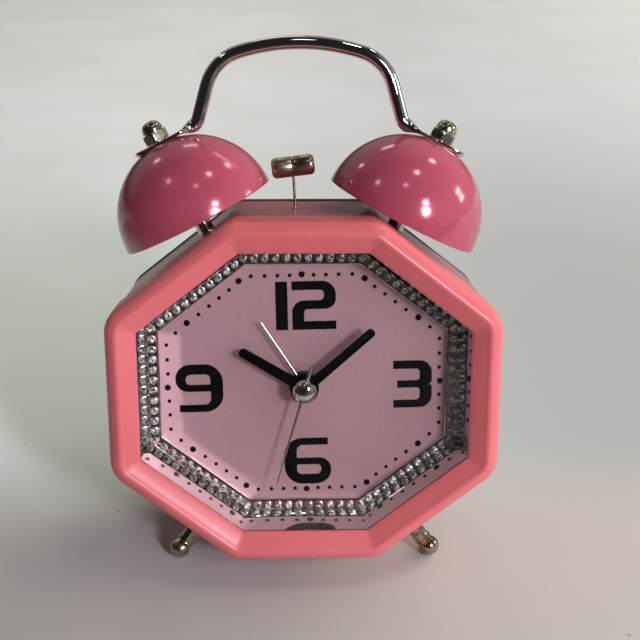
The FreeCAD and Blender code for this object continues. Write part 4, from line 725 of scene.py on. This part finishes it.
bell_enamel = gloss_pink("bell enamel", eye(186, 84, 104), eye(178, 76, 97), 0.16, 0.45,
                         (36.0, 0.03, 0.2, 0.35), 0.12, 20.0)
for side in SIDES:
    fitted(cleaned(turned(bell_profile(), 112), side + "_dome", 28.0, on_bell(side)),
           "clock_body", bell_enamel, side + "_bell")

post_metal = plated("plated post", eye(206, 202, 194), 0.12, (110.0, 0.12, 0.6, 0.3),
                    eye(96, 88, 76), 0.4)
refinish(post_metal, "bell_posts", "bell_studs", "stud_nuts")


# ----------
# Handle: one length of plated steel rod, bent to an arch, with both ends pressed flat into lugs.
# The lugs lie on the bells' crowns and are held by the dome nuts.
LUG_S, LUG_T, LUG_W, LUG_L, ROD_R = 24.2, 1.1, 8.4, 16.4, 2.08
HANDLE_RISE, TOP_ARC_R, TOP_ARC_INSET = 29.9, 64.0, 24.4
SHOULDER_R, LEG_LEAN, BEND_R = 14.3, math.radians(15.9), 3.6
HANDLE_SHIFT, LUG_SAG, SAG_FROM = -0.75, 0.17, 4.6
LUG_ROUND, LUG_SQUARENESS, SMALLEST_END = 3.2, 7.0, 1.0
LUG_AT = complex(BELL_X + (LUG_S + LUG_T / 2) * math.sin(BELL_TILT),
                 BELL_Z + (LUG_S + LUG_T / 2) * math.cos(BELL_TILT))


def handle_line():
    """Middle line of the right half from the top, and how far before the lug its bend ends.

    Each point is (x + z i, how far along the lug's flat or None).
    """
    def spoke(angle):
        return complex(math.sin(angle), math.cos(angle))

    def cross(u, v):
        return (u.conjugate() * v).imag

    a, b = math.asin((LUG_AT.real - TOP_ARC_INSET) / TOP_ARC_R), math.pi / 2 - LEG_LEAN
    low = 1j * (LUG_AT.imag + HANDLE_RISE - TOP_ARC_R)
    line = [low + TOP_ARC_R * spoke(a * k / 16) for k in range(17)]
    middle = line[-1] - SHOULDER_R * spoke(a)
    line += [middle + SHOULDER_R * spoke(a + (b - a) * k / 16) for k in range(1, 17)]
    leg = line[-1]
    down, flat = -spoke(-LEG_LEAN), spoke(BELL_TILT + math.pi / 2)
    corner = leg + down * cross(LUG_AT - leg, flat) / cross(down, flat)
    half_turn = (b - BELL_TILT) / 2
    run = BEND_R * math.tan(half_turn)
    start, end = corner - run * down, corner + run * flat
    line += [leg + (start - leg) * f / 4 for f in range(1, 4)]
    sag = BEND_R / math.cos(half_turn) - BEND_R
    via = corner + sag * (flat - down) / abs(flat - down)
    bend = arc_points(*((p.real, p.imag) for p in (start, via, end)), 12)
    line += [start] + [complex(*p) for p in bend]
    reach = abs(LUG_AT - end)
    alongs = [(reach + LUG_L / 2) * (1 - (1 - k / 44) ** 1.6) - reach for k in range(1, 45)]
    return [(p, None) for p in line] + [(LUG_AT + s * flat, s) for s in alongs], reach


def rod_section(along, reach):
    """Half width, half height and squareness of the rod, and how far its underside sags."""
    if along is None:
        return ROD_R, ROD_R, 2.0, 0.0
    flat_from = -(LUG_L / 2 - 1.2)
    f = min(max((along + reach) / (flat_from + reach), 0.0), 1.0)
    f = f * f * (3 - 2 * f)
    wide = ROD_R + (LUG_W / 2 - ROD_R) * f
    sag = LUG_SAG * min(max((along - SAG_FROM) / 1.2, 0.0), 1.0)
    high = ROD_R + (LUG_T / 2 - ROD_R) * f ** 0.8 + sag
    tip = along - (LUG_L / 2 - LUG_W / 2)
    if tip > 0:
        left = max(1.0 - (2 * tip / LUG_W) ** LUG_ROUND, 0.0)
        wide = max(LUG_W / 2 * left ** (1 / LUG_ROUND), SMALLEST_END)
    return wide, high, 2.0 + LUG_SQUARENESS * f ** 2, sag


def handle_rings():
    half, reach = handle_line()
    whole = [(-p.conjugate(), s) for p, s in half[:0:-1]] + half
    rings = []
    for i, (p, along) in enumerate(whole):
        tangent = whole[min(i + 1, len(whole) - 1)][0] - whole[max(i - 1, 0)][0]
        normal = 1j * tangent / abs(tangent)
        wide, high, power, sag = rod_section(along, reach)
        ring = []
        for c, s, _ in circle(1.0, 0.0, 32):
            q = p + normal * (high * math.copysign(abs(c) ** (2 / power), c) - sag)
            v = wide * math.copysign(abs(s) ** (2 / power), s)
            ring.append((q.real + HANDLE_SHIFT, BELL_Y + v, q.imag))
        rings.append(ring)
    return rings


fitted(cleaned(loft(handle_rings(), caps=True), "handle_rod", 40.0), "clock_body",
       plated("bright chrome", eye(222, 220, 218), 0.035, (70.0, 0.05, 0.5, 0.35)),
       "handle")


# ----------
# Dome nuts: two turned and milled acorn nuts, nickel plated, screwed down on the handle's lugs.
# Their hexagons are chamfered at top and bottom.
NUT_AF, NUT_H, DOME_R, DOME_H = 7.15, 3.1, 3.25, 3.5
NUT_TURN = {"left": 0.5, "right": 0.3}
CHAMFER_STEEPNESS, CORNER_SHARPNESS = 0.65, 46


def dome_nut(place, turn, steps=96):
    """Rings whose radius is the hexagon's or the chamfer cone's, whichever is less."""
    def radius(height, angle):
        faces = [max(math.cos(angle - turn - math.pi / 6 - k * math.pi / 3), 0.0)
                 ** CORNER_SHARPNESS for k in range(6)]
        hexagon = NUT_AF / 2 / sum(faces) ** (1 / CORNER_SHARPNESS)
        return min(hexagon, NUT_AF / 2 + 0.06 + CHAMFER_STEEPNESS * min(height, NUT_H - height))

    angles = [math.tau * k / steps for k in range(steps)]
    heights = (0.0, 0.12, 0.25, 0.38, 0.52, 0.68, 1.0, 1.55, 2.1, 2.42, 2.58, 2.72, 2.85, 2.98,
               NUT_H)
    neck = [(DOME_R - 0.45, NUT_H + 0.05), (DOME_R - 0.45, NUT_H + 0.25),
            (DOME_R - 0.12, NUT_H + 0.3)]
    dome = [(DOME_R * math.cos(math.pi * k / 32) ** 0.7,
             NUT_H + 0.4 + (DOME_H - 0.4) * math.sin(math.pi * k / 32) ** 0.95)
            for k in range(16)]
    rings = [circle(0.2, 0.0, steps)]
    rings += [[(radius(h, a) * math.cos(a), radius(h, a) * math.sin(a), h) for a in angles]
              for h in heights]
    rings += [circle(r, h, steps) for r, h in neck + dome + [(0.02, NUT_H + DOME_H)]]
    return [[place @ Vector(p) for p in ring] for ring in rings]


nuts_mesh = bmesh.new()
for side in SIDES:
    seat = TO_DIAL @ on_bell(side) @ Matrix.Translation((0, 0, LUG_S + LUG_T))
    loft(dome_nut(seat, NUT_TURN[side]), caps=True, bm=nuts_mesh)
nickel = plated("worn nickel", eye(200, 193, 172), 0.15, (130.0, 0.12, 0.6, 0.4),
                eye(132, 124, 98), 0.5)
fitted(cleaned(nuts_mesh, "acorn_nuts", 26.0), "clock_body", nickel, "dome_nuts")


# ----------
# Feet: two turned brass legs with ball ends, nickel plated and tarnished, each drawn against the
# case's lower slope by a screw from inside. A fine ring is turned above the ball.
FOOT_X, FOOT_Y, FOOT_Z, FOOT_REACH, FOOT_BALL_R = 39.95, 4.2, -55.94, 15.189, 3.25


def foot_profile():
    ring = [(2.32, 2.55), (2.3, 2.75), (2.55, 2.85), (2.78, 3.0), (2.86, 3.25), (2.78, 3.5),
            (2.55, 3.66)]
    leg = [(2.42, 3.9), (2.5, 5.0), (2.66, 7.0), (2.82, 9.5), (2.98, 12.0), (3.1, 14.2),
           (3.12, 14.9), (3.05, FOOT_REACH - 0.02), (0.0, FOOT_REACH - 0.02)]
    return dome_profile(FOOT_BALL_R, 26, -90.0, 44.0) + ring + leg


def foot_mesh(side):
    """Leg and ball where the clock stands, the ball flat on its floor side."""
    sign = SIDES[side]
    place = (STAND_UP @ Matrix.Translation((sign * FOOT_X, FOOT_Y, FOOT_Z))
             @ Matrix.Rotation(-sign * SLOPE, 4, "Y"))
    bm = turned(foot_profile(), 56)
    bmesh.ops.transform(bm, matrix=place, verts=bm.verts)
    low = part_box(side + "_foot")[0].z
    for vertex in bm.verts:
        vertex.co.z = max(vertex.co.z, low)
    return cleaned(bm, side + "_leg", 34.0, Matrix.Identity(4))


foot_nickel = plated("tarnished nickel", eye(176, 166, 146), 0.16, (150.0, 0.2, 0.8, 0.5),
                     eye(70, 58, 44), 0.85, 210.0, 0.08)
for side in SIDES:
    fitted(foot_mesh(side), "clock_body", foot_nickel, side + "_foot")


# ----------
# Hammer: a turned nickel barrel with a fine groove round its middle, on a thin spring wire that
# rises through a slot in the case. Wire, barrel and forked lever swing together on a pin.
HAMMER_X, HAMMER_Z, HAMMER_TILT, HAMMER_D, HAMMER_L = -3.05, 64.1, 6.9, 6.3, 13.3


def barrel_profile():
    half, r = HAMMER_L / 2, HAMMER_D / 2
    end = [(0.0, -half), (r - 1.35, -half)]
    end += arc_points((r - 1.35, -half), (r - 0.42, -half + 0.42), (r, -half + 1.35), 8)
    end += [(r, -0.42), (r - 0.05, -0.33), (r - 0.28, -0.2)]
    return end + [(radius, -height) for radius, height in end[::-1]]


barrel_place = (STAND_UP @ Matrix.Translation((HAMMER_X, BELL_Y, HAMMER_Z))
                @ Matrix.Rotation(math.radians(90 - HAMMER_TILT), 4, "Y"))
barrel_metal = plated("satin nickel barrel", eye(176, 166, 142), 0.22, (120.0, 0.2, 0.7, 0.5),
                      eye(92, 78, 58), 0.5, 240.0)
fitted(cleaned(turned(barrel_profile(), 72), "hammer_barrel", 34.0, barrel_place), "hammer",
       barrel_metal, "hammer_head")
steel = plated("plain steel", eye(168, 166, 162), 0.26, (120.0, 0.2, 0.8, 0.4),
               eye(92, 84, 76), 0.35)
refinish(steel, "hammer_wire", "hammer_lever", "hammer_pivot_pin", "gear_axle", "bracket_screws",
         "bezel_screws", "cover_screws", "foot_screws", "stator", "quartz_crystal",
         "battery_contacts", "bell_motor")


# ----------
# Works inside the case: moulded frame and movement case, nylon and brass wheels, a wound coil,
# the circuit board, the bell motor's gearing and one round cell.
def moulded(name, colour, shade, roughness, grain_scale=900.0, relief=0.12, metallic=0.0):
    """Plain moulding: two close shades, a fine spark-eroded grain and a little dust."""
    finish, tree, at = new_finish(name)
    rough, dust, height = marks_on(tree, 90.0, 0.08, 0.3, 0.5)
    height = maths(tree, "ADD", noise(tree, at, grain_scale, 3.0), height)
    patch = between(tree, noise(tree, at, 40.0, 2.0), 0.35, 0.65)
    tone = mixed(tree, times(tree, dust, 0.3), mixed(tree, patch, shade, colour),
                 eye(150, 144, 138))
    return coated(finish, Base_Color=tone, Metallic=metallic, IOR=1.48,
                  Roughness=maths(tree, "ADD", rough, roughness),
                  Normal=bumped(tree, height, relief, 0.0002))


def wound_wire_finish():
    """Enamelled copper in close turns across the coil."""
    finish, tree, at = new_finish("wound copper")
    turns = add(tree, "TexWave", {"Vector": at, "Scale": 900.0, "Distortion": 0.6},
                bands_direction="X").outputs["Fac"]
    return coated(finish, Base_Color=mixed(tree, turns, eye(120, 62, 34), eye(206, 124, 78)),
                  Metallic=0.85, Roughness=0.3, Normal=bumped(tree, turns, 0.4, 0.0001))


white_moulding = moulded("natural nylon", eye(226, 223, 214), eye(214, 211, 202), 0.42)
black_moulding = moulded("black moulding", eye(30, 29, 31), eye(24, 23, 25), 0.4, 1400.0, 0.2)
refinish(white_moulding, "inner_frame", "second_wheel", "third_wheel", "step_wheel",
         "motion_wheel", "hour_wheel", "alarm_wheel", "crank_gear", "switch_housing")
refinish(black_moulding, "movement_front", "movement_rear", "alarm_stem")
refinish(plated("cut brass", eye(214, 178, 106), 0.22, (120.0, 0.15, 0.6, 0.3),
                eye(128, 96, 48), 0.4), "centre_wheel", "minute_arbor", "motor_pinion", "rotor")
refinish(plated("zinc bracket", eye(186, 186, 180), 0.34, (90.0, 0.2, 0.6, 0.5),
                eye(128, 126, 118), 0.6), "hammer_bracket")
refinish(wound_wire_finish(), "coil")
refinish(moulded("solder mask", eye(36, 104, 62), eye(30, 92, 54), 0.3, 600.0, 0.08),
         "circuit_board")
refinish(moulded("cell sleeve", eye(84, 96, 112), eye(74, 84, 100), 0.24, 300.0, 0.03, 0.3),
         "battery")


# ----------
# Back: a black moulded lid pressed into the case, with a battery door that slides in its track,
# two fluted setting knobs and the alarm's ribbed slide switch.
for node, name, edge, body in (("rear_cover", "rear_lid", 0.35, "clock_body"),
                               ("battery_door", "sliding_door", 0.2, "battery_cover"),
                               ("time_set_knob", "time_knob", 0.15, "time_setter"),
                               ("alarm_set_knob", "alarm_knob", 0.15, "alarm_setter")):
    fitted(softened(node, name, edge), body, black_moulding, node)
fitted(softened("alarm_switch", "slide_button", 0.12), "alarm_slider", white_moulding,
       "alarm_switch")


# ----------
# Stage: one wide pale sheet under the clock, with painted shade at its front left and painted dark
# reflections. The light is a room's:
# a soft window at the right, a low lamp at the front right, small lamps overhead, and a dark room
# on the viewer's side.
SHEET_RINGS = (1.7, 1.0, 0.5, 0.2, 0.05, 0.0)
LAMP_REACH, AIM = 2.2, Vector((0.0, 0.0, 0.07))
WARM, WHITE, COOL = (1.0, 0.92, 0.74), (1.0, 0.97, 0.93), (1.0, 0.96, 1.05)


def pale_sheet_finish():
    """Mottled sheet with painted shade: darker at the front left. To mirror and glass rays it is
    painted near black in front and at the left, and half dark behind, as painted shade of a dark
    room.
    """
    finish, tree, at = new_finish("pale sheet")
    x, y, _ = add(tree, "SeparateXYZ", {0: at}).outputs
    # Painted shade: in front of the clock the sheet is darker towards the left.
    across = between(tree, x, -0.16, 0.16)
    front = mixed(tree, across, eye(192, 190, 186), eye(206, 203, 200))
    behind = mixed(tree, between(tree, y, 0.12, 0.6),
                   mixed(tree, across, eye(230, 243, 243), eye(186, 190, 192)),
                   mixed(tree, across, eye(246, 250, 255), eye(220, 225, 232)))
    colour = mixed(tree, between(tree, y, -0.02, 0.05), front, behind)
    mottled = between(tree, noise(tree, at, 9.0, 4.0), 0.3, 0.7, 0.0, 0.12)
    colour = mixed(tree, mottled, colour, eye(186, 180, 172))
    grit = specks(tree, at, 95.0, 0.03, 0.06, 0.93, 0.95)
    colour = mixed(tree, times(tree, grit, 0.6), colour, eye(110, 98, 90))
    # Painted shade for mirror and glass rays: near black far in front and at the left, half dark
    # behind.
    ray = add(tree, "LightPath").outputs
    bounced = maths(tree, "MAXIMUM", ray["Is Glossy Ray"], ray["Is Transmission Ray"])
    painted_shade_left = times(tree, between(tree, x, -0.4, -0.1, 0.85, 0.0),
                     between(tree, y, 0.1, 0.3, 1.0, 0.0))
    painted_shade = maths(tree, "ADD", between(tree, y, -0.22, -0.12, 1.0, 0.0), painted_shade_left)
    painted_shade_behind = times(tree, between(tree, y, 0.15, 0.4), between(tree, x, 0.0, 0.2, 0.5, 0.3))
    painted_shade = times(tree, bounced, maths(tree, "MAXIMUM", painted_shade, painted_shade_behind))
    return coated(finish, Base_Color=mixed(tree, painted_shade, colour, (0.006, 0.006, 0.006, 1.0)),
                  Roughness=0.75, Specular_IOR_Level=0.2,
                  Normal=bumped(tree, noise(tree, at, 700.0, 3.0), 0.08, 0.0004))


sheet = placed("pale_sheet", as_mesh(turned([(r, 0.0) for r in SHEET_RINGS], 48), "pale_sheet"))
sheet.data.materials.append(pale_sheet_finish())


def area_lamp(name, shape, wide, high, watts, tint, mirrored):
    """Lamp that the camera doesn't see, nor mirrors where it isn't mirrored."""
    data = bpy.data.lights.new(name, "AREA")
    data.shape, data.size, data.size_y = shape, wide, high
    data.energy, data.color = watts, tint
    lamp = placed(name, data)
    lamp.visible_camera = False
    lamp.visible_glossy = lamp.visible_transmission = mirrored
    return lamp


def hang_lamp(name, towards, watts, width, height=None, tint=WHITE, mirrored=True):
    """Lamp seen from the clock in a direction, with its angular width and height in degrees."""
    wide, high = (2 * LAMP_REACH * math.tan(math.radians(angle / 2))
                  for angle in (width, height or width))
    lamp = area_lamp(name, "RECTANGLE" if height else "ELLIPSE", wide, high, watts, tint, mirrored)
    direction = Vector(towards).normalized()
    lamp.location = AIM + direction * LAMP_REACH
    lamp.rotation_euler = direction.to_track_quat("Z", "Y").to_euler()


hang_lamp("key", (0.485, -0.79, 0.37), 24.0, 9.0, tint=COOL)
hang_lamp("front_right", (0.47, -0.69, 0.535), 5.0, 8.0, 6.0, COOL)
hang_lamp("ceiling_front", (0.02, -0.475, 0.87), 0.6, 6.0)
hang_lamp("ceiling_middle", (0.27, -0.135, 0.955), 1.6, 6.0)
hang_lamp("ceiling_left", (-0.55, -0.21, 0.80), 0.8, 6.0)
hang_lamp("ceiling_right", (0.50, 0.33, 0.79), 1.4, 6.0)
hang_lamp("ceiling_back", (-0.1, 0.7, 0.70), 1.2, 14.0, 5.0)
hang_lamp("back_left", (-0.59, 0.51, 0.62), 0.6, 5.0)
hang_lamp("window_upper", (0.93, 0.12, 0.37), 2.4, 9.0, 5.0)
hang_lamp("window_lower", (0.955, 0.12, 0.25), 2.4, 9.0, 5.0)
hang_lamp("soft_right", (0.8365, -0.483, 0.259), 12.0, 30.0, tint=COOL, mirrored=False)
hang_lamp("soft_right_high", (0.643, 0.0, 0.766), 6.0, 25.0, tint=WARM, mirrored=False)
hang_lamp("soft_back_right", (0.77, 0.539, 0.342), 19.0, 30.0, tint=WARM, mirrored=False)
hang_lamp("soft_back", (0.41, 0.709, 0.574), 7.5, 25.0, tint=WARM, mirrored=False)


def throw_light(name, x, z, wide, high, turn, watts):
    """Narrow straight beam on the dial: the key light that the mirror wall throws back on it."""
    lamp = area_lamp(name, "RECTANGLE", wide * 0.001, high * 0.001, watts, COOL, False)
    lamp.data.spread = math.radians(3.0)
    lamp.matrix_world = (STAND_UP @ Matrix.Translation((x, -45.0, z))
                         @ Matrix.Rotation(math.radians(turn), 4, "Y") @ TO_VIEWER)
    lamp.scale = (1.0, 1.0, 1.0)  # the size is in metres already


throw_light("thrown_left", -40.4, -1.0, 6.0, 34.0, 0.0, 0.00055)
throw_light("thrown_low_left", -29.2, -25.4, 34.0, 5.0, 37.75, 0.00045)

world = bpy.data.worlds.new("room")
world.use_nodes = True
bpy.context.scene.world = world
room = world.node_tree
room.nodes.clear()
x, y, z = add(room, "SeparateXYZ", {0: add(room, "TexCoord")}).outputs
level = mixed(room, between(room, x, 0.45, 0.95, 0.0, 0.6), (0.018, 0.018, 0.017, 1.0),
              (0.5, 0.5, 0.48, 1.0))
behind_above = times(room, between(room, y, 0.1, 0.6), between(room, z, -0.05, 0.3))
level = mixed(room, behind_above, level, (0.3, 0.3, 0.28, 1.0))
level = mixed(room, add(room, "LightPath"), level, (0.62, 0.63, 0.61, 1.0))
sky = add(room, "ShaderNodeBackground", {"Color": level, "Strength": 1.0})
add(room, "OutputWorld", {"Surface": sky})


# ----------
# Camera: the photograph's place and angle, a little above the clock and left of its middle.
EYE_AT = (-0.00228, -0.29483, 0.21520)
camera_data = bpy.data.cameras.new("viewpoint")
camera_data.sensor_width = 36.0
camera_data.lens = 36.0 * 1050.0 / 640.0
camera_data.clip_start, camera_data.clip_end = 0.01, 20.0
forward = Vector((0.0225, 0.9009, -0.4336)).normalized()
right = Vector((0.99973, -0.02262, 0.00477)).normalized()
up = right.cross(forward).normalized()
right = forward.cross(up).normalized()
camera = placed("viewpoint", camera_data)
camera.matrix_world = (Matrix.Translation(EYE_AT)
                       @ Matrix((right, up, -forward)).transposed().to_4x4())
bpy.context.scene.camera = camera
bpy.context.scene.view_settings.view_transform = "Standard"

bpy.context.view_layer.update()
